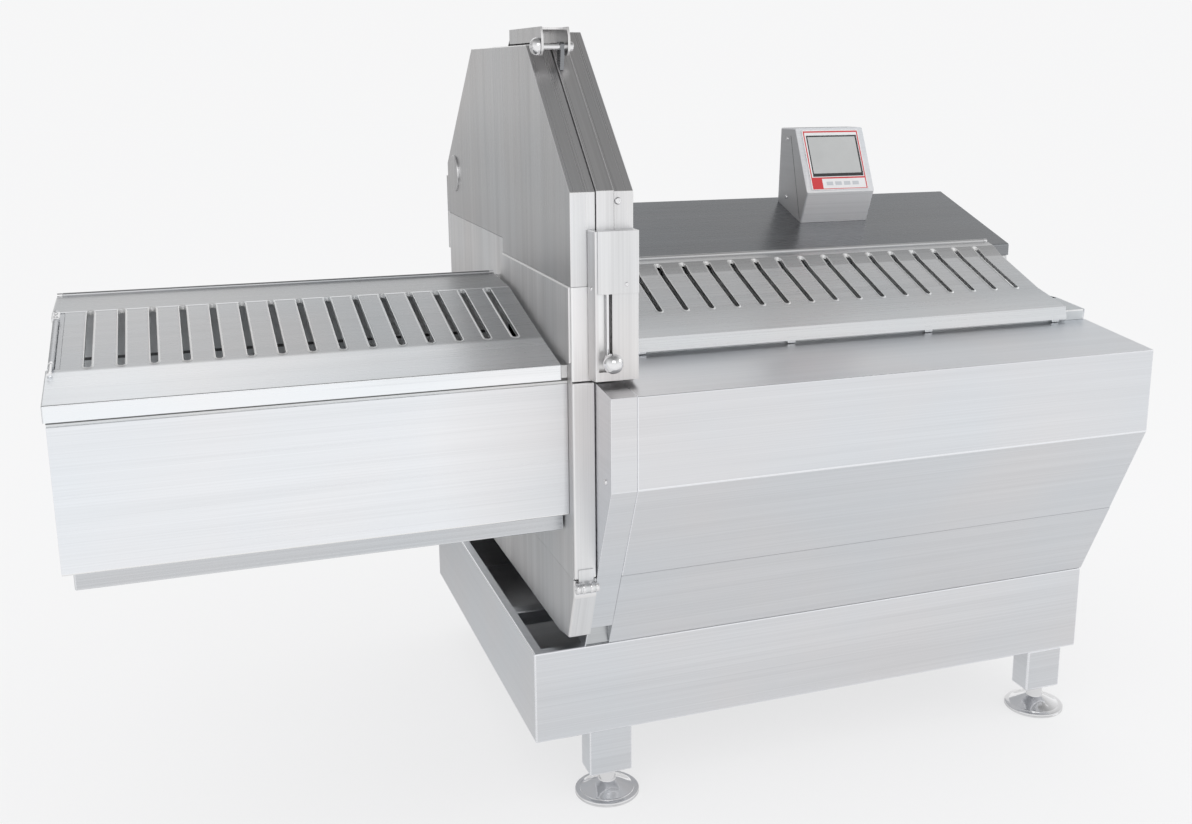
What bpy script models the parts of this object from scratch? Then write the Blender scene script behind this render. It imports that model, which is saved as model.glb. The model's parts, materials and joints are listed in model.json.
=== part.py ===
"""Frozen meat slicer: a floor-standing machine in folded stainless sheet.

The machine frame has X to the right along the base, Y to the rear and Z up. Its zero is the bottom front
left corner of the base tray. An empty carries everything, and stands so that the world origin is on the
floor under the middle of the machine.
Outlines lie in the Y-Z plane and run from the front bottom, over the top, to the rear bottom.
"""

import math

import bmesh
import bpy
from mathutils import Matrix, Vector

# Clearances, sheet sizes and the overrun of every cut
TOUCH_GAP = 0.0003
RUNNING_GAP = 0.0003
CUT_OVERRUN = 0.006
WELD_DISTANCE = 0.00003
SHEET = 0.002
PLATE = 0.010

# Base tray and its stiffening bar
BASE_LENGTH = 1.150
BASE_DEPTH = 0.842
BASE_HEIGHT = 0.170
BASE_WALL = 0.003
BASE_LIP = 0.017
TRAY_BAR_FRONT = 0.228
TRAY_BAR_WIDTH = 0.030
TRAY_BAR_TOP = 0.150
TRAY_BAR_HEIGHT = 0.030

# Legs and levelling feet
LEG_LENGTH = 0.080
LEG_DEPTH = 0.050
LEG_HEIGHT = 0.087
LEG_WALL = 0.003
LEG_SOLE = 0.006
LEG_FROM_LEFT = 0.101
LEG_FROM_RIGHT = 0.029
LEG_SETBACK = 0.005
FOOT_STAND = 0.050
FOOT_RADIUS = 0.059
FOOT_RIM = 0.008
FOOT_SHOULDER_RADIUS = 0.050
FOOT_NECK_RADIUS = 0.016
FOOT_CONE_HEIGHT = 0.018
FOOT_SPINDLE_RADIUS = 0.008
FOOT_SPINDLE_RISE = 0.030

# Feed body: front profile, side planes and rear
BODY_LEFT = 0.092
END_CAP_WIDTH = 0.044
BODY_WAIST_FRONT = -0.070
BODY_WAIST_HEIGHT = 0.322
BODY_BULGE_FRONT = -0.150
BODY_BULGE_BOTTOM = 0.498
BODY_BULGE_TOP = 0.654
SHELF_REAR = 0.045
SHELF_RISE = 0.023
END_PLATE_THICKNESS = 0.003
BODY_REAR = 0.800
REAR_COVER_BEND_HEIGHT = 0.700

# Frame weldment inside the body
FRAME_TUBE = 0.040
FRAME_FRONT = 0.005
MOTOR_BEAM_LEFT = 0.360
BULKHEAD_LEFT = 0.138
BULKHEAD_THICKNESS = 0.006
BULKHEAD_REAR = 0.120
BULKHEAD_SKIRT = 0.006

# Trough that holds the frozen block, and its top flange
FLANGE_FRONT_TOP = 0.697
FLANGE_REAR_TOP = 0.706
WELL_FRONT = 0.132
WELL_FLOOR = 0.500
FEED_SLOT_BOTTOM = 0.563
FEED_SLOT_TOP = 0.597

# Sloping deck over the machinery
DECK_LEFT = 0.1583
DECK_FRONT = 0.306
DECK_DROP_BOTTOM = 0.770
DECK_FRONT_HEIGHT = 0.794
DECK_CREST = 0.576
DECK_CREST_HEIGHT = 0.883

# Infeed hood
HOOD_LEFT = 0.160
HOOD_RIGHT_SETBACK = 0.052
HOOD_LIP_BOTTOM = (0.036, 0.682)
HOOD_LIP_TOP = (0.041, 0.706)
HOOD_BAND_REAR = (0.130, 0.729)
HOOD_FIELD_MID = (0.257, 0.778)
HOOD_FIELD_REAR = (0.290, 0.796)
HOOD_REAR = (0.3100, 0.8009)
HOOD_SLOT_COUNT = 17
HOOD_SLOT_FIRST = 0.233
HOOD_SLOT_PITCH = 0.051
HOOD_SLOT_WIDTH = 0.010
HOOD_SLOT_FRONT = 0.134
HOOD_SLOT_REAR = 0.286
HOOD_PIVOT = (0.3135, 0.8022)
HOOD_PAD_FIRST = 0.214
HOOD_PAD_PITCH = 0.2863
HOOD_PAD_COUNT = 4
HOOD_PAD_WIDTH = 0.016
HOOD_PAD_DEPTH = 0.007
COVER_END_FLANGE = 0.005

# Rolled hinges of the hood and the outfeed lid
BARREL_RADIUS = 0.0040
BARREL_BORE = 0.0028
HINGE_ROD_RADIUS = 0.0025
HINGE_BRACKET_WIDTH = 0.008
HINGE_END_SETBACK = 0.001
HINGE_NOTCH_DEPTH = 0.005
HINGE_FOOT_HALF = 0.0025

# Control box, its overlay and its screen
CONTROL_LEFT = 0.722
CONTROL_WIDTH = 0.160
CONTROL_FRONT_FOOT = 0.447
CONTROL_CHIN = (0.420, 0.906)
CONTROL_BROW = (0.483, 1.037)
CONTROL_BACK_TOP = (0.547, 1.036)
CONTROL_REAR_FOOT = 0.556
OVERLAY_THICKNESS = 0.0015
OVERLAY_SIDE_MARGIN = 0.013
OVERLAY_BOTTOM_MARGIN = 0.005
OVERLAY_TOP_MARGIN = 0.006
SCREEN_LEFT_MARGIN = 0.021
SCREEN_RIGHT_MARGIN = 0.019
SCREEN_BOTTOM_MARGIN = 0.035
SCREEN_TOP_MARGIN = 0.018
SCREEN_THICKNESS = 0.006

# Blade housing
HOUSING_LEFT = 0.0525
DOOR_RIGHT = 0.0925
RIM_LEFT = 0.095
RIM_WIDTH = 0.030
RIM_PROUD = 0.004
RIM_THICKNESS = 0.012
FIXED_HALF_RIGHT = 0.158
HOUSING_FRONT = -0.073
HOUSING_REAR = 0.845
HOUSING_FRONT_SHOULDER = 0.970
HOUSING_REAR_SHOULDER = 0.958
HOUSING_TOP = 1.197
HOUSING_TOP_FRONT = 0.169
HOUSING_TOP_REAR = 0.579
FIXED_TOP = 1.220
FIXED_TOP_FRONT = 0.1935
FIXED_TOP_REAR = 0.5534
FIXED_REAR_BOTTOM = 0.680
SEAM_FRONT_HEIGHT = 0.821
SEAM_REAR_HEIGHT = 0.849
SEAM_STEP = 0.362
FRONT_FLANGE_BOTTOM = 0.667
PANEL_BOTTOM = 0.197
DISC_CENTRE = (0.769, 0.940)
DISC_RADIUS = 0.039
DISC_THICKNESS = 0.004
DISC_SEGMENTS = 40

# Lower left casings under the seams
CASING_BOTTOM = 0.325
CASING_FRONT = -0.066
MOUTH_FRONT = 0.030
MOUTH_REAR = 0.340
MOUTH_BOTTOM = 0.480
MOUTH_TOP = 0.690
BACKING_BOTTOM = 0.697
BACKING_PROUD = 0.0025
TUB_FRONT = -0.069
TUB_KNEE_HEIGHT = 0.295
TUB_SLANT_FRONT = -0.033
TUB_SLANT_HEIGHT = 0.207
TUB_FLOOR_FRONT = 0.025

# Lower front cover and its hinge
COVER_SIDE_GAP = 0.0005
COVER_BOTTOM = 0.327
COVER_TOP = 0.665
COVER_PIVOT = (-0.0795, 0.3145)
COVER_BARREL_RADIUS = 0.009
COVER_LUG_WIDTH = 0.006
COVER_STRAP_TOP = 0.345

# Hinge of the blade door, at the rear left corner
DOOR_PIVOT = (0.060, 0.856)
DOOR_BARREL_RADIUS = 0.008
DOOR_PIN_RADIUS = 0.004
DOOR_STRAP_HALF = 0.004
DOOR_BARREL_HEIGHT = 0.080

# Latch on the front of the housing
LATCH_LEFT = 0.080
LATCH_FRONT = -0.098
LATCH_BOTTOM = 0.670
LATCH_TOP = 0.911
LATCH_DOOR_GAP = 0.002
LATCH_WINDOW_LEFT = 0.090
LATCH_WINDOW_RIGHT = 0.113
LATCH_WINDOW_BOTTOM = 0.685
LATCH_WINDOW_TOP = 0.811
LATCH_COVER_LEFT = 0.089
LATCH_ROD_X = 0.1075
LATCH_ROD_Y = -0.091
LATCH_ROD_RADIUS = 0.0035
LATCH_ROD_TAIL = 0.011
LATCH_ROD_LENGTH = 0.128
LATCH_KNOB_RISE = 0.033
LATCH_KNOB_RADIUS = 0.0165
LATCH_KNOB_STAND_SHARE = 0.8
LATCH_STEM_RADIUS = 0.005
LATCH_COLLAR_RADIUS = 0.012
LATCH_COLLAR_REAR = -0.1005
LATCH_COLLAR_THICKNESS = 0.004

# Top clamp: a hinged strap over both halves of the housing
CLAMP_PIVOT = (0.120, 1.194)
CLAMP_LEFT = 0.062
CLAMP_RIGHT = 0.112
CLAMP_CHEEK = 0.004
CLAMP_NOSE_RADIUS = 0.015
CLAMP_REAR = 0.313
CLAMP_TOP = 1.226
CLAMP_TOP_THICKNESS = 0.004
CLAMP_PIN_RADIUS = 0.005
CLAMP_HEAD_RADIUS = 0.015
CLAMP_HEAD_THICKNESS = 0.008
CLAMP_LUG_LEFT = 0.098
CLAMP_LUG_WIDTH = 0.005
CLAMP_LUG_FRONT = 0.108
CLAMP_LUG_REAR = 0.134

# Blade group
BLADE_AXIS = (0.385, 0.745)
BLADE_LEFT = 0.078
BLADE_THICKNESS = 0.004
BLADE_REACH = 0.430
BLADE_HEEL = 0.085
BLADE_SWEEP_DEGREES = 285
BLADE_POINTS = 44
SPIGOT_RADIUS = 0.016
HUB_RADIUS = 0.045
HUB_THICKNESS = 0.010
SPIGOT_PROUD = 0.004
SHAFT_RADIUS = 0.020
SHAFT_FLANGE_THICKNESS = 0.009
PLATE_BORE_RADIUS = 0.024
BEARING_FLANGE_RADIUS = 0.060
BEARING_FLANGE_THICKNESS = 0.015
BEARING_BODY_RADIUS = 0.042
BEARING_LENGTH = 0.095
PULLEY_LEFT = 0.215
PULLEY_WIDTH = 0.040
DRIVEN_PULLEY_RADIUS = 0.056
MOTOR_PULLEY_RADIUS = 0.040
BELT_THICKNESS = 0.0045
BELT_EDGE = 0.002
MOTOR_AXIS = (0.470, 0.400)
MOTOR_LEFT = 0.270
MOTOR_LENGTH = 0.250
MOTOR_RADIUS = 0.090
MOTOR_FOOT_INSET = 0.020
MOTOR_FOOT_HALF = 0.070
MOTOR_FOOT_RISE = 0.040
MOTOR_SHAFT_RADIUS = 0.014

# Pusher, its guides, its lead screw and its motor
PUSHER_SETBACK = 0.175
PUSHER_LENGTH = 0.050
PUSHER_HEIGHT = 0.190
PUSHER_SIDE_GAP = 0.0005
ARM_LENGTH = 0.036
ARM_HEIGHT = 0.024
GUIDE_HEIGHT = 0.580
GUIDE_FRONT = -0.035
GUIDE_REAR = 0.095
GUIDE_RADIUS = 0.010
SCREW_DEPTH = 0.030
SCREW_RADIUS = 0.008
SLEEVE_LENGTH = 0.040
SLEEVE_HALF = 0.024
FEED_MOTOR_LENGTH = 0.085
FEED_MOTOR_RADIUS = 0.036

# Outfeed conveyor
OUTFEED_LEFT = -0.721
OUTFEED_RIGHT = 0.0522
OUTFEED_FRONT = -0.050
OUTFEED_PANEL_BOTTOM = 0.435
OUTFEED_PANEL_TOP = 0.660
OUTFEED_BOTTOM_RETURN = 0.030
OUTFEED_REAR_WALL = 0.388
OUTFEED_TRAY_LEFT = -0.708
OUTFEED_TRAY_RIGHT = 0.050
OUTFEED_TRAY_FRONT = -0.022
OUTFEED_TRAY_REAR = 0.375
OUTFEED_TRAY_BOTTOM = 0.400
RAIL_FRONT = 0.024
RAIL_REAR = 0.342
RAIL_THICKNESS = 0.004
RAIL_LEFT = -0.695
RAIL_RIGHT = 0.040
RAIL_TOP = 0.486
CROSS_BAR_WIDTH = 0.060
CROSS_BAR_THICKNESS = 0.006
CROSS_BAR_LEFT = -0.640
CROSS_BAR_PITCH = 0.290
CROSS_BAR_COUNT = 3
ROLLER_RADIUS = 0.022
ROLLER_HEIGHT = 0.4725
ROLLER_STUB_RADIUS = 0.008
IDLER_X = -0.680
DRIVE_ROLLER_X = 0.015
CONVEYOR_BELT_THICKNESS = 0.0025
CONVEYOR_BELT_EDGE = 0.004

# Outfeed lid and its end flap
LID_LEFT = -0.724
LID_RIGHT = 0.040
LID_LIP_BOTTOM = (-0.058, 0.669)
LID_LIP_TOP = (-0.057, 0.694)
LID_BAND_REAR = (0.054, 0.718)
LID_FIELD_REAR = (0.268, 0.771)
LID_REAR = (0.3862, 0.7792)
LID_PIVOT = (0.389, 0.7802)
LID_SLOT_COUNT = 15
LID_SLOT_FIRST = -0.666
LID_SLOT_PITCH = 0.0473
LID_SLOT_WIDTH = 0.011
LID_SLOT_FRONT = 0.060
LID_SLOT_REAR = 0.266
NOTCH_WIDTH = 0.020
NOTCH_FRONT = 0.062
NOTCH_REAR = 0.266
FLAP_X = -0.7165
FLAP_ROD_RADIUS = 0.0045
FLAP_ROD_RISE = 0.002
FLAP_THICKNESS = 0.002
FLAP_END_GAP = 0.0003
FLAP_BOTTOM = 0.545
FLAP_FRONT = 0.036
FLAP_REAR = 0.330
FLAP_SHOULDER_DROP = 0.020
FLAP_NECK_INSET = 0.006

ROUND_SEGMENTS = 24
FOOT_SEGMENTS = 28
SMALL_SEGMENTS = 16

# Sizes worked out from the driving ones
BODY_BOTTOM = BASE_HEIGHT + TOUCH_GAP
BODY_RIGHT = BASE_LENGTH
SHELF_REAR_HEIGHT = BODY_BULGE_TOP + SHELF_RISE
HOOD_RIGHT = BODY_RIGHT - HOOD_RIGHT_SETBACK
PUSHER_LEFT = BODY_RIGHT - PUSHER_SETBACK
LATCH_KNOB_HEIGHT = LATCH_BOTTOM + LATCH_KNOB_RISE
LATCH_ROD_BOTTOM = LATCH_KNOB_HEIGHT - LATCH_ROD_TAIL
LATCH_ROD_TOP = LATCH_ROD_BOTTOM + LATCH_ROD_LENGTH
END_CAP_RIGHT = BODY_LEFT + END_CAP_WIDTH
END_PLATE_RIGHT = BODY_RIGHT - SHEET
END_PLATE_LEFT = END_PLATE_RIGHT - END_PLATE_THICKNESS
INNER_RIGHT = END_PLATE_LEFT - TOUCH_GAP
PLATE_RIGHT = RIM_LEFT + PLATE
FRAME_TOP = BODY_BOTTOM + FRAME_TUBE
FRAME_REAR = BODY_REAR - SHEET - SHEET
WELL_REAR = DECK_FRONT - TOUCH_GAP - SHEET
CASING_RIGHT = BODY_LEFT - TOUCH_GAP
STAND_HEIGHT = LEG_HEIGHT + FOOT_STAND
MACHINE_REAR = DOOR_PIVOT[1] + DOOR_BARREL_RADIUS
CENTRE_X = (LID_LEFT + BODY_RIGHT) / 2
CENTRE_Y = (BODY_BULGE_FRONT + MACHINE_REAR) / 2

BODY_FRONT_PROFILE = [
    (0, BODY_BOTTOM),
    (BODY_WAIST_FRONT, BODY_WAIST_HEIGHT),
    (BODY_BULGE_FRONT, BODY_BULGE_BOTTOM),
    (BODY_BULGE_FRONT, BODY_BULGE_TOP),
    (SHELF_REAR, SHELF_REAR_HEIGHT),
]
HOUSING_CROWN = [
    (HOUSING_FRONT, HOUSING_FRONT_SHOULDER),
    (HOUSING_TOP_FRONT, HOUSING_TOP),
    (HOUSING_TOP_REAR, HOUSING_TOP),
    (HOUSING_REAR, HOUSING_REAR_SHOULDER),
]
FIXED_CROWN = [
    (HOUSING_FRONT, HOUSING_FRONT_SHOULDER),
    (FIXED_TOP_FRONT, FIXED_TOP),
    (FIXED_TOP_REAR, FIXED_TOP),
    (HOUSING_REAR, HOUSING_REAR_SHOULDER),
]
TROUGH_PATH = [
    (SHELF_REAR, SHELF_REAR_HEIGHT + TOUCH_GAP),
    (SHELF_REAR, FLANGE_FRONT_TOP),
    (WELL_FRONT, FLANGE_REAR_TOP),
    (WELL_FRONT, WELL_FLOOR),
    (WELL_REAR, WELL_FLOOR),
    (WELL_REAR, DECK_DROP_BOTTOM - TOUCH_GAP),
]
DECK_PATH = [
    (DECK_FRONT, DECK_DROP_BOTTOM),
    (DECK_FRONT, DECK_FRONT_HEIGHT),
    (DECK_CREST, DECK_CREST_HEIGHT),
]
REAR_COVER_PATH = [
    (DECK_CREST + SHEET + 3 * TOUCH_GAP, DECK_CREST_HEIGHT),
    (BODY_REAR, REAR_COVER_BEND_HEIGHT),
    (BODY_REAR, BODY_BOTTOM),
]
HOOD_PATH = [HOOD_LIP_BOTTOM, HOOD_LIP_TOP, HOOD_BAND_REAR, HOOD_FIELD_MID, HOOD_FIELD_REAR, HOOD_REAR]
LID_PATH = [LID_LIP_BOTTOM, LID_LIP_TOP, LID_BAND_REAR, LID_FIELD_REAR, LID_REAR]
OUTFEED_PANEL_PATH = [
    (OUTFEED_FRONT + OUTFEED_BOTTOM_RETURN, OUTFEED_PANEL_BOTTOM),
    (OUTFEED_FRONT, OUTFEED_PANEL_BOTTOM),
    (OUTFEED_FRONT, OUTFEED_PANEL_TOP),
]


def make_material(name, colour, roughness, metallic):
    """Return a plain Principled material."""
    material = bpy.data.materials.new(name)
    material.use_nodes = True
    shader = material.node_tree.nodes["Principled BSDF"]
    shader.inputs["Base Color"].default_value = (*colour, 1.0)
    shader.inputs["Roughness"].default_value = roughness
    shader.inputs["Metallic"].default_value = metallic
    return material


def empty_scene():
    """Remove every object, so that the script gives the same scene each time."""
    for item in list(bpy.data.objects):
        bpy.data.objects.remove(item, do_unlink=True)


def new_collection(name):
    """Return a new collection in the scene."""
    collection = bpy.data.collections.new(name)
    bpy.context.scene.collection.children.link(collection)
    return collection


def slope_height(start, end, depth):
    """Return the height at a depth on the straight line through two outline points."""
    share = (depth - start[0]) / (end[0] - start[0])
    return start[1] + share * (end[1] - start[1])


def shelf_height(depth):
    """Return the height of the body's shelf at a depth."""
    return slope_height(BODY_FRONT_PROFILE[3], BODY_FRONT_PROFILE[4], depth)


def deck_height(depth):
    """Return the height of the deck at a depth."""
    return slope_height(DECK_PATH[1], DECK_PATH[2], depth)


def offset(path, outward, closed=False):
    """Return an outline moved sideways with mitred corners; outward is to the left of its direction."""
    count = len(path)
    moved = []
    for index, point in enumerate(path):
        normals = []
        for first, second in ((index - 1, index), (index, index + 1)):
            if not closed and (first < 0 or second >= count):
                continue
            start = Vector(path[first % count])
            direction = (Vector(path[second % count]) - start).normalized()
            normals.append(Vector((-direction.y, direction.x)))
        mitre = normals[0] + normals[-1]
        mitre = mitre / (mitre.dot(normals[0]))
        moved.append(tuple(Vector(point) + mitre * outward))
    return moved


def sheet_outline(path, thickness):
    """Return the closed outline of a folded sheet whose outer face follows the path."""
    return path + offset(path, -thickness)[::-1]


def lengthened(path, overrun):
    """Return an open path whose ends run on by an overrun."""
    longer = list(path)
    for end, beside in ((0, 1), (-1, -2)):
        point, inner = Vector(path[end]), Vector(path[beside])
        longer[end] = tuple(point + (point - inner).normalized() * overrun)
    return longer


def arc(centre, radius, start, end, segments):
    """Return the points of an arc between two angles, ends included."""
    points = []
    for index in range(segments + 1):
        angle = start + (end - start) * index / segments
        points.append((centre[0] + radius * math.cos(angle), centre[1] + radius * math.sin(angle)))
    return points


def belt_outline(first, first_radius, second, second_radius, segments):
    """Return the outline of a belt laid round two circles, the first one above or beside the second."""
    centre = Vector(first)
    across = Vector(second) - centre
    along = math.atan2(across.y, across.x)
    wrap = math.acos((first_radius - second_radius) / across.length)
    return (arc(first, first_radius, along + wrap, along - wrap + 2 * math.pi, segments)
            + arc(second, second_radius, along - wrap, along + wrap, segments))


class Workshop:
    """Holds the collections, the root empty and the tools that make pieces in machine coordinates."""

    def __init__(self):
        self.parts = new_collection("frozen_meat_slicer")
        self.cutters = new_collection("cutters")
        self.root = bpy.data.objects.new("machine_zero", None)
        self.root.location = (-CENTRE_X, -CENTRE_Y, STAND_HEIGHT)
        self.parts.objects.link(self.root)
        self.pivots = {}

    def add(self, name, mesh, material=None, cutter=False):
        """Link a mesh as a part, or as a cutter that is not part of the object."""
        item = bpy.data.objects.new(name, mesh)
        item.parent = self.root
        if cutter:
            self.cutters.objects.link(item)
            item.hide_render = True
            item.display_type = "WIRE"
        else:
            self.parts.objects.link(item)
            mesh.materials.append(material)
        return item

    def mesh_from_outline(self, name, points, start, end):
        """Fill a Y-Z outline as a 2D curve, extrude it along X and return it as a mesh."""
        curve = bpy.data.curves.new(name, "CURVE")
        curve.dimensions = "2D"
        curve.fill_mode = "BOTH"
        curve.extrude = (end - start) / 2
        spline = curve.splines.new("POLY")
        spline.points.add(len(points) - 1)
        for vertex, point in zip(spline.points, points):
            vertex.co = (point[0], point[1], 0, 1)
        spline.use_cyclic_u = True
        guide = bpy.data.objects.new(name, curve)
        guide.location = ((start + end) / 2, 0, 0)
        guide.rotation_euler = (math.pi / 2, 0, math.pi / 2)
        self.cutters.objects.link(guide)
        bpy.context.view_layer.update()
        graph = bpy.context.evaluated_depsgraph_get()
        mesh = bpy.data.meshes.new_from_object(guide.evaluated_get(graph))
        mesh.transform(guide.matrix_world)
        bpy.data.objects.remove(guide, do_unlink=True)
        clean = bmesh.new()
        clean.from_mesh(mesh)
        bmesh.ops.remove_doubles(clean, verts=clean.verts, dist=WELD_DISTANCE)
        bmesh.ops.recalc_face_normals(clean, faces=clean.faces)
        clean.to_mesh(mesh)
        clean.free()
        return mesh

    def outline(self, name, points, start, end, material=None, cutter=False):
        """Make a solid from a Y-Z outline that runs along X."""
        return self.add(name, self.mesh_from_outline(name, points, start, end), material, cutter)

    def box(self, name, xs, ys, zs, material=None, cutter=False):
        """Make a box from its limits along each axis."""
        mesh = bpy.data.meshes.new(name)
        shape = bmesh.new()
        bmesh.ops.create_cube(shape, size=1)
        size = Vector((xs[1] - xs[0], ys[1] - ys[0], zs[1] - zs[0]))
        middle = Vector((xs[0] + xs[1], ys[0] + ys[1], zs[0] + zs[1])) / 2
        bmesh.ops.transform(shape, matrix=Matrix.Translation(middle) @ Matrix.Diagonal((*size, 1)),
                            verts=shape.verts)
        shape.to_mesh(mesh)
        shape.free()
        return self.add(name, mesh, material, cutter)

    def rod(self, name, axis, centre, radius, start, end, material=None, cutter=False,
            segments=ROUND_SEGMENTS):
        """Make a cylinder along X, Y or Z; centre is its place across the axis, in axis order."""
        mesh = bpy.data.meshes.new(name)
        shape = bmesh.new()
        bmesh.ops.create_cone(shape, cap_ends=True, segments=segments, radius1=radius, radius2=radius,
                              depth=end - start)
        middle = (start + end) / 2
        turns = {"X": Matrix.Rotation(math.pi / 2, 4, "Y"), "Y": Matrix.Rotation(math.pi / 2, 4, "X"),
                 "Z": Matrix.Identity(4)}
        places = {"X": (middle, centre[0], centre[1]), "Y": (centre[0], middle, centre[1]),
                  "Z": (centre[0], centre[1], middle)}
        bmesh.ops.transform(shape, matrix=Matrix.Translation(places[axis]) @ turns[axis],
                            verts=shape.verts)
        shape.to_mesh(mesh)
        shape.free()
        mesh.shade_smooth()
        mesh.set_sharp_from_angle(angle=math.radians(40))
        return self.add(name, mesh, material, cutter)

    def ball(self, name, centre, radius, cutter=True):
        """Make a sphere."""
        mesh = bpy.data.meshes.new(name)
        shape = bmesh.new()
        bmesh.ops.create_uvsphere(shape, u_segments=SMALL_SEGMENTS, v_segments=SMALL_SEGMENTS // 2,
                                  radius=radius)
        bmesh.ops.translate(shape, vec=centre, verts=shape.verts)
        shape.to_mesh(mesh)
        shape.free()
        mesh.shade_smooth()
        return self.add(name, mesh, None, cutter)

    def combine(self, target, others, operation):
        """Apply Boolean steps between a piece and its cutters or its added shapes."""
        for other in others:
            step = target.modifiers.new(other.name, "BOOLEAN")
            step.operation = operation
            step.solver = "EXACT"
            step.object = other
        return target

    def cut(self, target, *others):
        """Take the other shapes away from the target."""
        return self.combine(target, others, "DIFFERENCE")

    def join(self, target, *others):
        """Weld the other shapes to the target."""
        return self.combine(target, others, "UNION")

    def set_pivot(self, item, point):
        """Hang a moving piece on an empty at its joint's axis; the shape stays where it is."""
        key = tuple(point)
        if key not in self.pivots:
            pivot = bpy.data.objects.new(item.name + "_pivot", None)
            pivot.location = point
            pivot.parent = self.root
            self.parts.objects.link(pivot)
            self.pivots[key] = pivot
        item.data.transform(Matrix.Translation(-Vector(point)))
        item.parent = self.pivots[key]
        return item


def build_base(shop, steel):
    """Make the open base tray with its inward lip and its stiffening bar."""
    tray = shop.box("base_tray", (0, BASE_LENGTH), (0, BASE_DEPTH), (0, BASE_HEIGHT), steel)
    hollow = shop.box("base_hollow", (BASE_WALL, BASE_LENGTH - BASE_WALL), (BASE_WALL, BASE_DEPTH - BASE_WALL),
                      (BASE_WALL, BASE_HEIGHT - BASE_WALL), cutter=True)
    mouth = shop.box("base_mouth", (BASE_LIP, BASE_LENGTH - BASE_LIP), (BASE_LIP, BASE_DEPTH - BASE_LIP),
                     (BASE_HEIGHT - BASE_WALL - CUT_OVERRUN, BASE_HEIGHT + CUT_OVERRUN), cutter=True)
    bar = shop.box("base_bar", (BASE_WALL / 2, BASE_LENGTH - BASE_WALL / 2),
                   (TRAY_BAR_FRONT, TRAY_BAR_FRONT + TRAY_BAR_WIDTH),
                   (TRAY_BAR_TOP - TRAY_BAR_HEIGHT, TRAY_BAR_TOP), cutter=True)
    shop.cut(tray, hollow, mouth)
    shop.join(tray, bar)


def leg_places():
    """Return the name, left edge and front edge of each leg."""
    left = LEG_FROM_LEFT
    right = BASE_LENGTH - LEG_FROM_RIGHT - LEG_LENGTH
    front = LEG_SETBACK
    rear = BASE_DEPTH - LEG_SETBACK - LEG_DEPTH
    return [("front_left", left, front), ("front_right", right, front),
            ("rear_left", left, rear), ("rear_right", right, rear)]


def foot_mesh():
    """Turn the levelling foot's profile: disc, cone, neck and spindle, with its zero at the leg's sole."""
    floor = -FOOT_STAND
    profile = [
        (0, FOOT_SPINDLE_RISE),
        (FOOT_SPINDLE_RADIUS, FOOT_SPINDLE_RISE),
        (FOOT_SPINDLE_RADIUS, -RUNNING_GAP),
        (FOOT_NECK_RADIUS, -RUNNING_GAP),
        (FOOT_NECK_RADIUS, floor + FOOT_RIM + FOOT_CONE_HEIGHT),
        (FOOT_SHOULDER_RADIUS, floor + FOOT_RIM),
        (FOOT_RADIUS, floor + FOOT_RIM),
        (FOOT_RADIUS, floor),
        (0, floor),
    ]
    mesh = bpy.data.meshes.new("levelling_foot")
    shape = bmesh.new()
    points = [shape.verts.new((radius, 0, height)) for radius, height in profile]
    for first, second in zip(points, points[1:]):
        shape.edges.new((first, second))
    shape.to_mesh(mesh)
    shape.free()
    return mesh


def build_legs(shop, steel, chrome):
    """Make four box legs, each with a levelling foot turning in its sole."""
    turned = foot_mesh()
    turned.materials.append(chrome)
    for name, left, front in leg_places():
        centre = (left + LEG_LENGTH / 2, front + LEG_DEPTH / 2)
        leg = shop.box("leg_" + name, (left, left + LEG_LENGTH), (front, front + LEG_DEPTH),
                       (-LEG_HEIGHT, -TOUCH_GAP), steel)
        hollow = shop.box("leg_hollow_" + name, (left + LEG_WALL, left + LEG_LENGTH - LEG_WALL),
                          (front + LEG_WALL, front + LEG_DEPTH - LEG_WALL),
                          (LEG_SOLE - LEG_HEIGHT, CUT_OVERRUN), cutter=True)
        hole = shop.rod("leg_hole_" + name, "Z", centre, FOOT_SPINDLE_RADIUS + RUNNING_GAP,
                        -LEG_HEIGHT - CUT_OVERRUN, -LEG_HEIGHT + LEG_SOLE + CUT_OVERRUN, cutter=True,
                        segments=FOOT_SEGMENTS)
        shop.cut(leg, hollow, hole)
        foot = bpy.data.objects.new("levelling_foot_" + name, turned)
        shop.parts.objects.link(foot)
        foot.parent = shop.root
        foot.location = (*centre, -LEG_HEIGHT)
        screw = foot.modifiers.new("turning", "SCREW")
        screw.steps = FOOT_SEGMENTS
        screw.render_steps = FOOT_SEGMENTS
        screw.use_merge_vertices = True
        screw.merge_threshold = WELD_DISTANCE
        screw.use_smooth_shade = False


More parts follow.
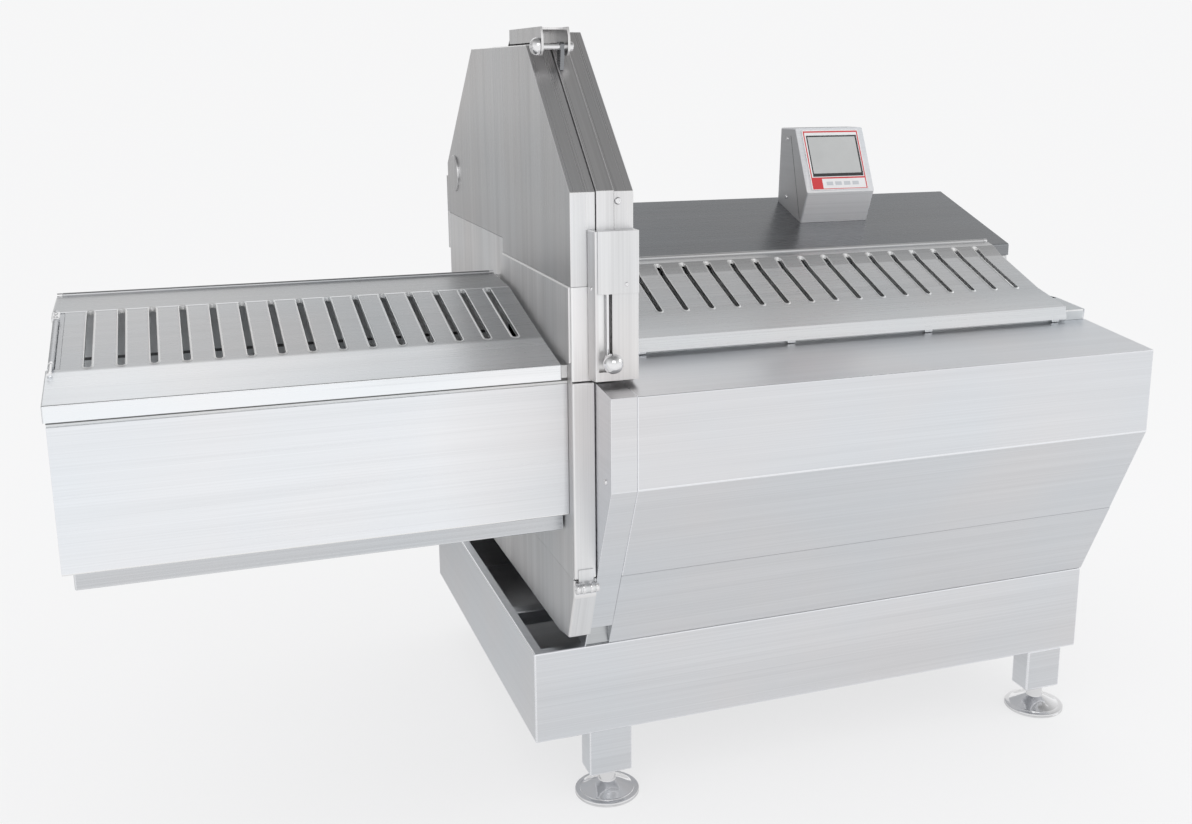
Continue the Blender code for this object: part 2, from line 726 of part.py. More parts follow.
def build_frame(shop, steel):
    """Make the welded frame of square bars, with the bulkhead that carries the guides' left ends."""
    frame = shop.box("machine_frame", (RIM_LEFT, INNER_RIGHT), (FRAME_FRONT, FRAME_REAR), (BODY_BOTTOM, FRAME_TOP),
                     steel)
    pockets = []
    for name, start, end in (("left", RIM_LEFT, MOTOR_BEAM_LEFT),
                             ("right", MOTOR_BEAM_LEFT, INNER_RIGHT - FRAME_TUBE)):
        pockets.append(shop.box("frame_pocket_" + name, (start + FRAME_TUBE, end),
                                (FRAME_FRONT + FRAME_TUBE, FRAME_REAR - FRAME_TUBE),
                                (BODY_BOTTOM - CUT_OVERRUN, FRAME_TOP + CUT_OVERRUN), cutter=True))
    shop.cut(frame, *pockets)
    inner = offset(BODY_FRONT_PROFILE, -(SHEET + TOUCH_GAP))
    foot_rear = FRAME_FRONT + FRAME_TUBE - BULKHEAD_SKIRT
    bulkhead_outline = inner + [
        (BULKHEAD_REAR, inner[-1][1]),
        (BULKHEAD_REAR, FRAME_TOP + BULKHEAD_SKIRT),
        (foot_rear, FRAME_TOP - BULKHEAD_SKIRT),
        (foot_rear, BODY_BOTTOM + BULKHEAD_SKIRT),
    ]
    shop.join(frame, shop.outline("bulkhead", bulkhead_outline, BULKHEAD_LEFT, BULKHEAD_LEFT + BULKHEAD_THICKNESS,
                                  cutter=True))


def build_body(shop, steel, satin):
    """Make the body's skins: end cap, front panels, end plate, trough, deck and rear cover."""
    cap_outline = BODY_FRONT_PROFILE + [(SHELF_REAR, BODY_BOTTOM)]
    cap = shop.outline("left_end_cap", cap_outline, BODY_LEFT, END_CAP_RIGHT, steel)
    inner = offset(BODY_FRONT_PROFILE, -SHEET)
    inner[0] = (inner[0][0], BODY_BOTTOM - CUT_OVERRUN)
    inner[-1] = (SHELF_REAR + CUT_OVERRUN, inner[-1][1])
    hollow = shop.outline("cap_hollow", inner + [(SHELF_REAR + CUT_OVERRUN, BODY_BOTTOM - CUT_OVERRUN)],
                          BODY_LEFT + SHEET, END_CAP_RIGHT + CUT_OVERRUN, cutter=True)
    shop.cut(cap, hollow)

    panel_left = END_CAP_RIGHT + TOUCH_GAP
    waist = Vector(BODY_FRONT_PROFILE[1])
    below = waist + (Vector(BODY_FRONT_PROFILE[0]) - waist).normalized() * TOUCH_GAP
    above = waist + (Vector(BODY_FRONT_PROFILE[2]) - waist).normalized() * TOUCH_GAP
    lower = [BODY_FRONT_PROFILE[0], tuple(below)]
    upper = [tuple(above)] + BODY_FRONT_PROFILE[2:]
    shop.outline("body_lower_panel", sheet_outline(lower, SHEET), panel_left, BODY_RIGHT, steel)
    shop.outline("body_front_panel", sheet_outline(upper, SHEET), panel_left, BODY_RIGHT, steel)

    skin = SHEET + TOUCH_GAP
    inset_front = offset(BODY_FRONT_PROFILE, -skin)
    inset_deck = offset(DECK_PATH + REAR_COVER_PATH[1:], -skin)
    end_outline = inset_front[:4] + [
        (SHELF_REAR, inset_front[4][1]),
        (SHELF_REAR + skin, SHELF_REAR_HEIGHT),
        (SHELF_REAR, FLANGE_FRONT_TOP),
        (WELL_FRONT, FLANGE_REAR_TOP),
        (inset_deck[0][0], FLANGE_REAR_TOP),
    ] + inset_deck[1:4] + [(inset_deck[4][0], BODY_BOTTOM)]
    shop.outline("right_end_plate", end_outline, END_PLATE_LEFT, END_PLATE_RIGHT, steel)

    trough = shop.outline("trough", sheet_outline(TROUGH_PATH, SHEET), PLATE_RIGHT + TOUCH_GAP, INNER_RIGHT,
                          satin)
    slot = shop.box("feed_slot", (BULKHEAD_LEFT + BULKHEAD_THICKNESS, INNER_RIGHT - SHEET),
                    (WELL_FRONT - SHEET - CUT_OVERRUN, WELL_FRONT + CUT_OVERRUN),
                    (FEED_SLOT_BOTTOM, FEED_SLOT_TOP), cutter=True)
    shop.cut(trough, slot)
    shop.outline("rear_deck", sheet_outline(DECK_PATH, SHEET), DECK_LEFT, BODY_RIGHT, satin)
    shop.outline("rear_cover", sheet_outline(REAR_COVER_PATH, SHEET), DECK_LEFT, BODY_RIGHT, steel)


def slotted_cover(shop, name, path, limits, slots, pivot, material):
    """Make a folded cover with slots, end flanges and a rolled hinge barrel along its rear edge."""
    left, right = limits
    cover = shop.outline(name, sheet_outline(path, COVER_END_FLANGE), left, right, material)
    longer = lengthened(path, CUT_OVERRUN)
    inside = offset(longer, -SHEET) + offset(longer, -COVER_END_FLANGE - CUT_OVERRUN)[::-1]
    hollow = shop.outline(name + "_hollow", inside, left + SHEET, right - SHEET, cutter=True)
    barrel_left = left + HINGE_END_SETBACK + HINGE_BRACKET_WIDTH + 2 * TOUCH_GAP
    barrel_right = right - HINGE_END_SETBACK - HINGE_BRACKET_WIDTH - 2 * TOUCH_GAP
    barrel = shop.rod(name + "_barrel", "X", pivot, BARREL_RADIUS, barrel_left, barrel_right, cutter=True,
                      segments=SMALL_SEGMENTS)
    shop.cut(cover, hollow)
    shop.join(cover, barrel)
    cuts = [shop.rod(name + "_bore", "X", pivot, BARREL_BORE, left - CUT_OVERRUN, right + CUT_OVERRUN,
                     cutter=True, segments=SMALL_SEGMENTS)]
    notch_front = path[-1][0] - HINGE_NOTCH_DEPTH
    notch_rear = pivot[0] + BARREL_RADIUS + CUT_OVERRUN
    notch_zs = (pivot[1] - COVER_END_FLANGE * 2 - CUT_OVERRUN, pivot[1] + BARREL_RADIUS + CUT_OVERRUN)
    cuts.append(shop.box(name + "_left_notch", (left - CUT_OVERRUN, barrel_left - TOUCH_GAP),
                         (notch_front, notch_rear), notch_zs, cutter=True))
    cuts.append(shop.box(name + "_right_notch", (barrel_right + TOUCH_GAP, right + CUT_OVERRUN),
                         (notch_front, notch_rear), notch_zs, cutter=True))
    count, first, pitch, width, slot_front, slot_rear = slots
    for index in range(count):
        middle = first + index * pitch
        cuts.append(shop.box(f"{name}_slot_{index}", (middle - width / 2, middle + width / 2),
                             (slot_front, slot_rear),
                             (path[1][1], path[-1][1] + CUT_OVERRUN), cutter=True))
    shop.cut(cover, *cuts)
    return cover


def hinge_rod(shop, name, limits, pivot, seat_height, material):
    """Make a cover's hinge rod with a bracket at each end that stands on its seat."""
    left, right = limits[0] + HINGE_END_SETBACK, limits[1] - HINGE_END_SETBACK
    rod = shop.rod(name, "X", pivot, HINGE_ROD_RADIUS, left, right, material, segments=SMALL_SEGMENTS)
    added = []
    for side, start in (("left", left), ("right", right - HINGE_BRACKET_WIDTH)):
        end = start + HINGE_BRACKET_WIDTH
        added.append(shop.rod(f"{name}_{side}_eye", "X", pivot, BARREL_RADIUS, start, end, cutter=True,
                              segments=SMALL_SEGMENTS))
        added.append(shop.box(f"{name}_{side}_foot", (start, end),
                              (pivot[0] - HINGE_FOOT_HALF, pivot[0] + HINGE_FOOT_HALF),
                              (seat_height + TOUCH_GAP, pivot[1]), cutter=True))
    shop.join(rod, *added)


def build_hood(shop, satin, chrome):
    """Make the slotted infeed hood with its rest pads, and its hinge rod on the deck's front edge."""
    slots = (HOOD_SLOT_COUNT, HOOD_SLOT_FIRST, HOOD_SLOT_PITCH, HOOD_SLOT_WIDTH, HOOD_SLOT_FRONT,
             HOOD_SLOT_REAR)
    limits = (HOOD_LEFT, HOOD_RIGHT)
    hood = slotted_cover(shop, "infeed_hood", HOOD_PATH, limits, slots, HOOD_PIVOT, satin)
    pads = []
    for index in range(HOOD_PAD_COUNT):
        middle = HOOD_PAD_FIRST + index * HOOD_PAD_PITCH
        front = HOOD_LIP_BOTTOM[0] + SHEET / 2
        rear = front + HOOD_PAD_DEPTH
        heights = (shelf_height(rear) + TOUCH_GAP, HOOD_LIP_BOTTOM[1] + HOOD_PAD_DEPTH)
        pads.append(shop.box(f"hood_pad_{index}", (middle - HOOD_PAD_WIDTH / 2, middle + HOOD_PAD_WIDTH / 2),
                             (front, rear), heights, cutter=True))
    shop.join(hood, *pads)
    shop.set_pivot(hood, (HOOD_LEFT, *HOOD_PIVOT))
    hinge_rod(shop, "hood_hinge_rod", limits, HOOD_PIVOT, deck_height(HOOD_PIVOT[0] + HINGE_FOOT_HALF), chrome)


def control_face_box(shop, name, xs, along, out, material=None, cutter=False):
    """Make a box on the control box's slanted face: along runs up the face, out away from it."""
    chin, brow = Vector(CONTROL_CHIN), Vector(CONTROL_BROW)
    up = (brow - chin).normalized()
    away = Vector((-up.y, up.x))
    corners = [(along[0], out[0]), (along[0], out[1]), (along[1], out[1]), (along[1], out[0])]
    points = [tuple(chin + up * run + away * rise) for run, rise in corners]
    return shop.outline(name, points, xs[0], xs[1], material, cutter)


def build_control(shop, satin, pale, dark):
    """Make the control box with its overlay and its screen set in a window of the slanted face."""
    right = CONTROL_LEFT + CONTROL_WIDTH
    front_foot = (CONTROL_FRONT_FOOT, deck_height(CONTROL_FRONT_FOOT) + TOUCH_GAP)
    rear_foot = (CONTROL_REAR_FOOT, deck_height(CONTROL_REAR_FOOT) + TOUCH_GAP)
    skin = [front_foot, CONTROL_CHIN, CONTROL_BROW, CONTROL_BACK_TOP, rear_foot]
    box = shop.outline("control_box", skin, CONTROL_LEFT, right, satin)
    inner = offset(skin, -SHEET)
    inner[0] = (inner[0][0] + CUT_OVERRUN, inner[0][1] - CUT_OVERRUN * 2)
    inner[-1] = (inner[-1][0], inner[-1][1] - CUT_OVERRUN)
    hollow = shop.outline("control_hollow", inner, CONTROL_LEFT + SHEET, right - SHEET, cutter=True)
    face = (Vector(CONTROL_BROW) - Vector(CONTROL_CHIN)).length
    screen_xs = (CONTROL_LEFT + SCREEN_LEFT_MARGIN, right - SCREEN_RIGHT_MARGIN)
    screen_run = (SCREEN_BOTTOM_MARGIN, face - SCREEN_TOP_MARGIN)
    window = control_face_box(shop, "control_window", screen_xs, screen_run,
                              (-SCREEN_THICKNESS - CUT_OVERRUN, OVERLAY_THICKNESS + CUT_OVERRUN), cutter=True)
    shop.cut(box, hollow, window)
    overlay = control_face_box(shop, "control_overlay", (CONTROL_LEFT + OVERLAY_SIDE_MARGIN,
                                                         right - OVERLAY_SIDE_MARGIN),
                               (OVERLAY_BOTTOM_MARGIN, face - OVERLAY_TOP_MARGIN),
                               (TOUCH_GAP, TOUCH_GAP + OVERLAY_THICKNESS), pale)
    shop.cut(overlay, window)
    control_face_box(shop, "control_screen", (screen_xs[0] + TOUCH_GAP, screen_xs[1] - TOUCH_GAP),
                     (screen_run[0] + TOUCH_GAP, screen_run[1] - TOUCH_GAP), (-SCREEN_THICKNESS, TOUCH_GAP),
                     dark)


def build_main_plate(shop, satin):
    """Make the upright plate that carries the blade's bearing, with the product window."""
    inset = RIM_THICKNESS - RIM_PROUD + TOUCH_GAP
    crown = offset([(HOUSING_FRONT, FIXED_REAR_BOTTOM), *HOUSING_CROWN, (HOUSING_REAR, FRAME_TOP + TOUCH_GAP)],
                   -inset)
    plate_front = SHELF_REAR + TOUCH_GAP
    outline = [(plate_front, FRAME_TOP + TOUCH_GAP), (plate_front, FIXED_REAR_BOTTOM)] + crown
    plate = shop.outline("main_plate", outline, RIM_LEFT, PLATE_RIGHT, satin)
    xs = (RIM_LEFT - CUT_OVERRUN, PLATE_RIGHT + CUT_OVERRUN)
    window = shop.box("product_window", xs, (WELL_FRONT + SHEET, WELL_REAR - SHEET),
                      (WELL_FLOOR + SHEET, WELL_FLOOR + PUSHER_HEIGHT + PLATE), cutter=True)
    bore = shop.rod("shaft_bore", "X", BLADE_AXIS, PLATE_BORE_RADIUS, *xs, cutter=True)
    shop.cut(plate, window, bore)


def build_rim(shop, satin):
    """Make the rim that frames the main plate and shows as a strip between the housing halves."""
    inner_front = HOUSING_FRONT - RIM_PROUD + RIM_THICKNESS
    path = [(HOUSING_FRONT, shelf_height(inner_front) + TOUCH_GAP), *HOUSING_CROWN,
            (HOUSING_REAR, PANEL_BOTTOM)]
    rim_outline = sheet_outline(offset(path, RIM_PROUD), RIM_THICKNESS)
    shop.outline("housing_rim", rim_outline, RIM_LEFT, RIM_LEFT + RIM_WIDTH, satin)


def build_fixed_half(shop, steel):
    """Make the right half of the housing: a shell open to the left that stands over the trough."""
    left = RIM_LEFT + RIM_WIDTH + TOUCH_GAP
    step_front = SHELF_REAR - 3 * TOUCH_GAP
    over_flange = FLANGE_REAR_TOP + SHEET
    notch_front, notch_rear = WELL_REAR - SHEET, DECK_FRONT + SHEET
    outline = [(HOUSING_FRONT, shelf_height(HOUSING_FRONT) + TOUCH_GAP), *FIXED_CROWN,
               (HOUSING_REAR, FIXED_REAR_BOTTOM), (notch_rear, FIXED_REAR_BOTTOM),
               (notch_rear, DECK_DROP_BOTTOM), (notch_front, DECK_DROP_BOTTOM), (notch_front, over_flange),
               (step_front, over_flange), (step_front, shelf_height(step_front) + TOUCH_GAP)]
    half = shop.outline("housing_fixed_half", outline, left, FIXED_HALF_RIGHT, steel)
    bottom = BODY_BULGE_TOP - CUT_OVERRUN
    inner = offset([(HOUSING_FRONT, bottom), *FIXED_CROWN, (HOUSING_REAR, bottom)], -SHEET)
    hollow = shop.outline("fixed_hollow", inner, left - CUT_OVERRUN, FIXED_HALF_RIGHT - SHEET, cutter=True)
    bore = shop.rod("fixed_half_bore", "X", BLADE_AXIS, BEARING_BODY_RADIUS + TOUCH_GAP,
                    FIXED_HALF_RIGHT - SHEET - CUT_OVERRUN, FIXED_HALF_RIGHT + CUT_OVERRUN, cutter=True)
    shop.cut(half, hollow, bore)


def build_left_casings(shop, steel):
    """Make the casing round the outfeed mouth, the rear lower panel and the tub under the blade."""
    seam = SEAM_FRONT_HEIGHT - TOUCH_GAP
    split = SEAM_STEP - TOUCH_GAP
    flange_bottom = FRONT_FLANGE_BOTTOM + TOUCH_GAP
    outline = [(CASING_FRONT, CASING_BOTTOM), (CASING_FRONT, flange_bottom), (HOUSING_FRONT, flange_bottom),
               (HOUSING_FRONT, seam), (split, seam), (split, CASING_BOTTOM)]
    casing = shop.outline("lower_left_casing", outline, HOUSING_LEFT, CASING_RIGHT, steel)
    hollow = shop.box("casing_hollow", (HOUSING_LEFT + SHEET, CASING_RIGHT + CUT_OVERRUN),
                      (HOUSING_FRONT + SHEET, split + CUT_OVERRUN),
                      (CASING_BOTTOM - CUT_OVERRUN, seam + CUT_OVERRUN), cutter=True)
    backing = shop.box("casing_backing", (HOUSING_LEFT - BACKING_PROUD, HOUSING_LEFT + SHEET),
                       (CASING_FRONT, split - SHEET), (BACKING_BOTTOM, seam), cutter=True)
    mouth = shop.box("casing_mouth", (HOUSING_LEFT - CUT_OVERRUN, HOUSING_LEFT + SHEET + CUT_OVERRUN),
                     (MOUTH_FRONT, MOUTH_REAR), (MOUTH_BOTTOM, MOUTH_TOP), cutter=True)
    shop.cut(casing, hollow)
    shop.join(casing, backing)
    shop.cut(casing, mouth)

    rear_top = SEAM_REAR_HEIGHT - TOUCH_GAP
    panel_front = SEAM_STEP + TOUCH_GAP
    panel_right = RIM_LEFT - TOUCH_GAP
    panel = shop.box("rear_lower_panel", (HOUSING_LEFT, panel_right), (panel_front, HOUSING_REAR),
                     (PANEL_BOTTOM, rear_top), steel)
    panel_hollow = shop.box("panel_hollow", (HOUSING_LEFT + SHEET, panel_right + CUT_OVERRUN),
                            (panel_front - CUT_OVERRUN, HOUSING_REAR - SHEET),
                            (PANEL_BOTTOM + SHEET, rear_top + CUT_OVERRUN), cutter=True)
    shop.cut(panel, panel_hollow)

    tub_top = CASING_BOTTOM - TOUCH_GAP
    tub_outline = [(TUB_FLOOR_FRONT, PANEL_BOTTOM), (TUB_SLANT_FRONT, TUB_SLANT_HEIGHT),
                   (TUB_FRONT, TUB_KNEE_HEIGHT), (TUB_FRONT, tub_top), (split, tub_top), (split, PANEL_BOTTOM)]
    tub = shop.outline("lower_tub", tub_outline, HOUSING_LEFT, CASING_RIGHT, steel)
    tub_wall = [(split + CUT_OVERRUN, PANEL_BOTTOM)] + tub_outline[:3] + [(TUB_FRONT, tub_top + CUT_OVERRUN)]
    tub_inner = offset(tub_wall, -SHEET) + [(split + CUT_OVERRUN, tub_top + CUT_OVERRUN)]
    tub_hollow = shop.outline("tub_hollow", tub_inner, HOUSING_LEFT + SHEET, CASING_RIGHT + CUT_OVERRUN,
                              cutter=True)
    shop.cut(tub, tub_hollow)


def build_lower_cover(shop, steel, chrome):
    """Make the lower front cover, which tips forward on a pin held by two lugs on the tub."""
    left, right = HOUSING_LEFT + COVER_SIDE_GAP, CASING_RIGHT - COVER_SIDE_GAP
    cover_rear = CASING_FRONT - TOUCH_GAP
    cover = shop.box("lower_front_cover", (left, right), (HOUSING_FRONT, cover_rear), (COVER_BOTTOM, COVER_TOP),
                     steel)
    hollow = shop.box("cover_hollow", (left + SHEET, right - SHEET),
                      (HOUSING_FRONT + SHEET, cover_rear + CUT_OVERRUN),
                      (COVER_BOTTOM + SHEET, COVER_TOP - SHEET), cutter=True)
    barrel_left, barrel_right = left + COVER_LUG_WIDTH + TOUCH_GAP, right - COVER_LUG_WIDTH - TOUCH_GAP
    barrel = shop.rod("cover_barrel", "X", COVER_PIVOT, COVER_BARREL_RADIUS, barrel_left, barrel_right,
                      cutter=True, segments=SMALL_SEGMENTS)
    strap = shop.box("cover_strap", (barrel_left, barrel_right),
                     (HOUSING_FRONT - SHEET, HOUSING_FRONT + SHEET / 2),
                     (COVER_PIVOT[1], COVER_STRAP_TOP), cutter=True)
    bore = shop.rod("cover_bore", "X", COVER_PIVOT, BARREL_BORE, left - CUT_OVERRUN, right + CUT_OVERRUN,
                    cutter=True, segments=SMALL_SEGMENTS)
    shop.cut(cover, hollow)
    shop.join(cover, barrel, strap)
    shop.cut(cover, bore)
    shop.set_pivot(cover, (left, *COVER_PIVOT))

    pin = shop.rod("cover_hinge_pin", "X", COVER_PIVOT, HINGE_ROD_RADIUS, left, right, chrome,
                   segments=SMALL_SEGMENTS)
    lugs = []
    for side, start in (("left", left), ("right", right - COVER_LUG_WIDTH)):
        lug_xs = (start, start + COVER_LUG_WIDTH)
        lugs.append(shop.rod(f"cover_lug_{side}", "X", COVER_PIVOT, COVER_BARREL_RADIUS, *lug_xs, cutter=True,
                             segments=SMALL_SEGMENTS))
        lugs.append(shop.box(f"cover_lug_foot_{side}", lug_xs, (COVER_PIVOT[0], TUB_FRONT - TOUCH_GAP),
                             (COVER_PIVOT[1] - COVER_BARREL_RADIUS, COVER_PIVOT[1] + HINGE_ROD_RADIUS),
                             cutter=True))
    shop.join(pin, *lugs)


def build_door(shop, steel, chrome):
    """Make the blade door, its raised disc and its rear hinge with a fixed pin."""
    low, high = SEAM_FRONT_HEIGHT + TOUCH_GAP, SEAM_REAR_HEIGHT + TOUCH_GAP
    outline = [(HOUSING_FRONT, low), *HOUSING_CROWN, (HOUSING_REAR, high), (SEAM_STEP, high), (SEAM_STEP, low)]
    door = shop.outline("blade_door", outline, HOUSING_LEFT, DOOR_RIGHT, steel)
    inner = offset([(HOUSING_FRONT, low - CUT_OVERRUN), *HOUSING_CROWN, (HOUSING_REAR, low - CUT_OVERRUN)],
                   -SHEET)
    hollow = shop.outline("door_hollow", inner, HOUSING_LEFT + SHEET, DOOR_RIGHT + CUT_OVERRUN, cutter=True)
    axis_x, axis_y = DOOR_PIVOT
    barrel_top = high + DOOR_BARREL_HEIGHT
    barrel = shop.rod("door_barrel", "Z", DOOR_PIVOT, DOOR_BARREL_RADIUS, high, barrel_top, cutter=True)
    strap_xs = (axis_x - DOOR_STRAP_HALF, axis_x + DOOR_STRAP_HALF)
    strap = shop.box("door_strap", strap_xs, (HOUSING_REAR - SHEET / 2, axis_y), (high, barrel_top),
                     cutter=True)
    bore = shop.rod("door_bore", "Z", DOOR_PIVOT, DOOR_PIN_RADIUS + RUNNING_GAP, high - CUT_OVERRUN,
                    barrel_top + CUT_OVERRUN, cutter=True)
    shop.cut(door, hollow)
    shop.join(door, barrel, strap)
    shop.cut(door, bore)
    pivot = (*DOOR_PIVOT, high)
    shop.set_pivot(door, pivot)
    disc = shop.rod("door_disc", "X", DISC_CENTRE, DISC_RADIUS, HOUSING_LEFT - TOUCH_GAP - DISC_THICKNESS,
                    HOUSING_LEFT - TOUCH_GAP, steel, segments=DISC_SEGMENTS)
    shop.set_pivot(disc, pivot)

    foot_top = SEAM_REAR_HEIGHT - TOUCH_GAP
    pin = shop.rod("door_hinge_pin", "Z", DOOR_PIVOT, DOOR_PIN_RADIUS, foot_top - DOOR_BARREL_HEIGHT,
                   barrel_top, chrome)
    lower = shop.rod("door_lower_barrel", "Z", DOOR_PIVOT, DOOR_BARREL_RADIUS, foot_top - DOOR_BARREL_HEIGHT,
                     foot_top, cutter=True)
    foot = shop.box("door_pin_foot", strap_xs, (HOUSING_REAR + TOUCH_GAP, axis_y),
                    (foot_top - DOOR_BARREL_HEIGHT, foot_top), cutter=True)
    shop.join(pin, lower, foot)


def build_latch(shop, steel, chrome):
    """Make the latch box, its cover plate and the sliding bolt with its ball knob."""
    right = FIXED_HALF_RIGHT
    back = HOUSING_FRONT - TOUCH_GAP
    rim_front = HOUSING_FRONT - RIM_PROUD - TOUCH_GAP
    box = shop.box("latch_box", (LATCH_LEFT, right), (LATCH_FRONT, back), (LATCH_BOTTOM, LATCH_TOP), steel)
    hollow = shop.box("latch_hollow", (LATCH_LEFT + SHEET, right - SHEET),
                      (LATCH_FRONT + SHEET, back + CUT_OVERRUN),
                      (LATCH_BOTTOM - CUT_OVERRUN, LATCH_TOP - SHEET), cutter=True)
    heights = (LATCH_BOTTOM - CUT_OVERRUN, LATCH_TOP + CUT_OVERRUN)
    door_room = shop.box("latch_door_room", (LATCH_LEFT - CUT_OVERRUN, RIM_LEFT - TOUCH_GAP),
                         (HOUSING_FRONT - LATCH_DOOR_GAP, back + CUT_OVERRUN), heights, cutter=True)
    rim_room = shop.box("latch_rim_room", (RIM_LEFT - 2 * TOUCH_GAP, RIM_LEFT + RIM_WIDTH + TOUCH_GAP),
                        (rim_front, back + CUT_OVERRUN), heights, cutter=True)
    window = shop.box("latch_window", (LATCH_WINDOW_LEFT, LATCH_WINDOW_RIGHT),
                      (LATCH_FRONT - CUT_OVERRUN, LATCH_FRONT + SHEET + TOUCH_GAP),
                      (LATCH_WINDOW_BOTTOM, LATCH_WINDOW_TOP), cutter=True)
    shop.cut(box, hollow, door_room, rim_room, window)
    shop.box("latch_cover", (LATCH_COVER_LEFT, right - TOUCH_GAP),
             (LATCH_FRONT - TOUCH_GAP - SHEET, LATCH_FRONT - TOUCH_GAP), (LATCH_WINDOW_TOP, LATCH_TOP), steel)

    bolt = shop.rod("latch_bolt", "Z", (LATCH_ROD_X, LATCH_ROD_Y), LATCH_ROD_RADIUS, LATCH_ROD_BOTTOM,
                    LATCH_ROD_TOP, chrome, segments=SMALL_SEGMENTS)
    place = (LATCH_ROD_X, LATCH_KNOB_HEIGHT)
    collar_front = LATCH_COLLAR_REAR - LATCH_COLLAR_THICKNESS
    knob_centre = (LATCH_ROD_X, collar_front - LATCH_KNOB_RADIUS * LATCH_KNOB_STAND_SHARE, LATCH_KNOB_HEIGHT)
    shop.join(
        bolt,
        shop.rod("latch_stem", "Y", place, LATCH_STEM_RADIUS, knob_centre[1], LATCH_ROD_Y, cutter=True,
                 segments=SMALL_SEGMENTS),
        shop.rod("latch_collar", "Y", place, LATCH_COLLAR_RADIUS, collar_front, LATCH_COLLAR_REAR, cutter=True),
        shop.ball("latch_ball", knob_centre, LATCH_KNOB_RADIUS))
    shop.set_pivot(bolt, (LATCH_ROD_X, LATCH_ROD_Y, LATCH_KNOB_HEIGHT))


def build_clamp(shop, satin, chrome):
    """Make the top clamp: a strap with two cheeks that swings on a pin held by a lug on the rim."""
    cheek_bottom = HOUSING_TOP + RIM_PROUD + TOUCH_GAP
    front = CLAMP_PIVOT[0] - CLAMP_NOSE_RADIUS
    throat = math.asin((cheek_bottom - CLAMP_PIVOT[1]) / CLAMP_NOSE_RADIUS)
    cheek = arc(CLAMP_PIVOT, CLAMP_NOSE_RADIUS, throat, -math.pi, ROUND_SEGMENTS // 2)
    cheek += [(front, CLAMP_TOP - CLAMP_NOSE_RADIUS), (front + CLAMP_NOSE_RADIUS / 2, CLAMP_TOP),
              (CLAMP_REAR, CLAMP_TOP), (CLAMP_REAR, cheek_bottom)]
    lever = shop.outline("top_clamp_lever", cheek, CLAMP_LEFT, CLAMP_LEFT + CLAMP_CHEEK, satin)
    shop.join(
        lever,
        shop.outline("clamp_right_cheek", cheek, CLAMP_RIGHT - CLAMP_CHEEK, CLAMP_RIGHT, cutter=True),
        shop.box("clamp_strap", (CLAMP_LEFT + CLAMP_CHEEK / 2, CLAMP_RIGHT - CLAMP_CHEEK / 2),
                 (CLAMP_PIVOT[0] + CLAMP_NOSE_RADIUS, CLAMP_REAR - TOUCH_GAP),
                 (CLAMP_TOP - CLAMP_TOP_THICKNESS, CLAMP_TOP - TOUCH_GAP), cutter=True))
    bore = shop.rod("clamp_bore", "X", CLAMP_PIVOT, CLAMP_PIN_RADIUS + RUNNING_GAP, CLAMP_LEFT - CUT_OVERRUN,
                    CLAMP_RIGHT + CUT_OVERRUN, cutter=True)
    shop.cut(lever, bore)
    shop.set_pivot(lever, (CLAMP_LEFT, *CLAMP_PIVOT))

    head_left = CLAMP_LEFT - TOUCH_GAP - CLAMP_HEAD_THICKNESS
    tail_right = CLAMP_RIGHT + TOUCH_GAP + CLAMP_HEAD_THICKNESS
    pin = shop.rod("clamp_pin", "X", CLAMP_PIVOT, CLAMP_PIN_RADIUS, head_left, tail_right, chrome)
    rim_top = offset(HOUSING_CROWN, RIM_PROUD)
    seats = [slope_height(rim_top[0], rim_top[1], depth) + 2 * TOUCH_GAP
             for depth in (CLAMP_LUG_FRONT, CLAMP_LUG_REAR)]
    lug_outline = [(CLAMP_LUG_FRONT, seats[0]), (CLAMP_LUG_FRONT, CLAMP_PIVOT[1] + CLAMP_HEAD_THICKNESS),
                   (CLAMP_LUG_REAR, CLAMP_PIVOT[1] + CLAMP_HEAD_THICKNESS), (CLAMP_LUG_REAR, seats[1])]
    shop.join(
        pin,
        shop.rod("clamp_head", "X", CLAMP_PIVOT, CLAMP_HEAD_RADIUS, head_left, CLAMP_LEFT - TOUCH_GAP,
                 cutter=True),
        shop.rod("clamp_tail", "X", CLAMP_PIVOT, CLAMP_HEAD_THICKNESS, CLAMP_RIGHT + TOUCH_GAP, tail_right,
                 cutter=True),
        shop.outline("clamp_lug", lug_outline, CLAMP_LUG_LEFT, CLAMP_LUG_LEFT + CLAMP_LUG_WIDTH, cutter=True))


def blade_outline():
    """Return the sickle outline: its edge winds out from the heel to full reach, then steps back."""
    points = []
    for index in range(BLADE_POINTS):
        share = index / (BLADE_POINTS - 1)
        angle = -math.radians(BLADE_SWEEP_DEGREES) * share
        radius = BLADE_HEEL + (BLADE_REACH - BLADE_HEEL) * share
        points.append((BLADE_AXIS[0] + radius * math.cos(angle), BLADE_AXIS[1] + radius * math.sin(angle)))
    return points


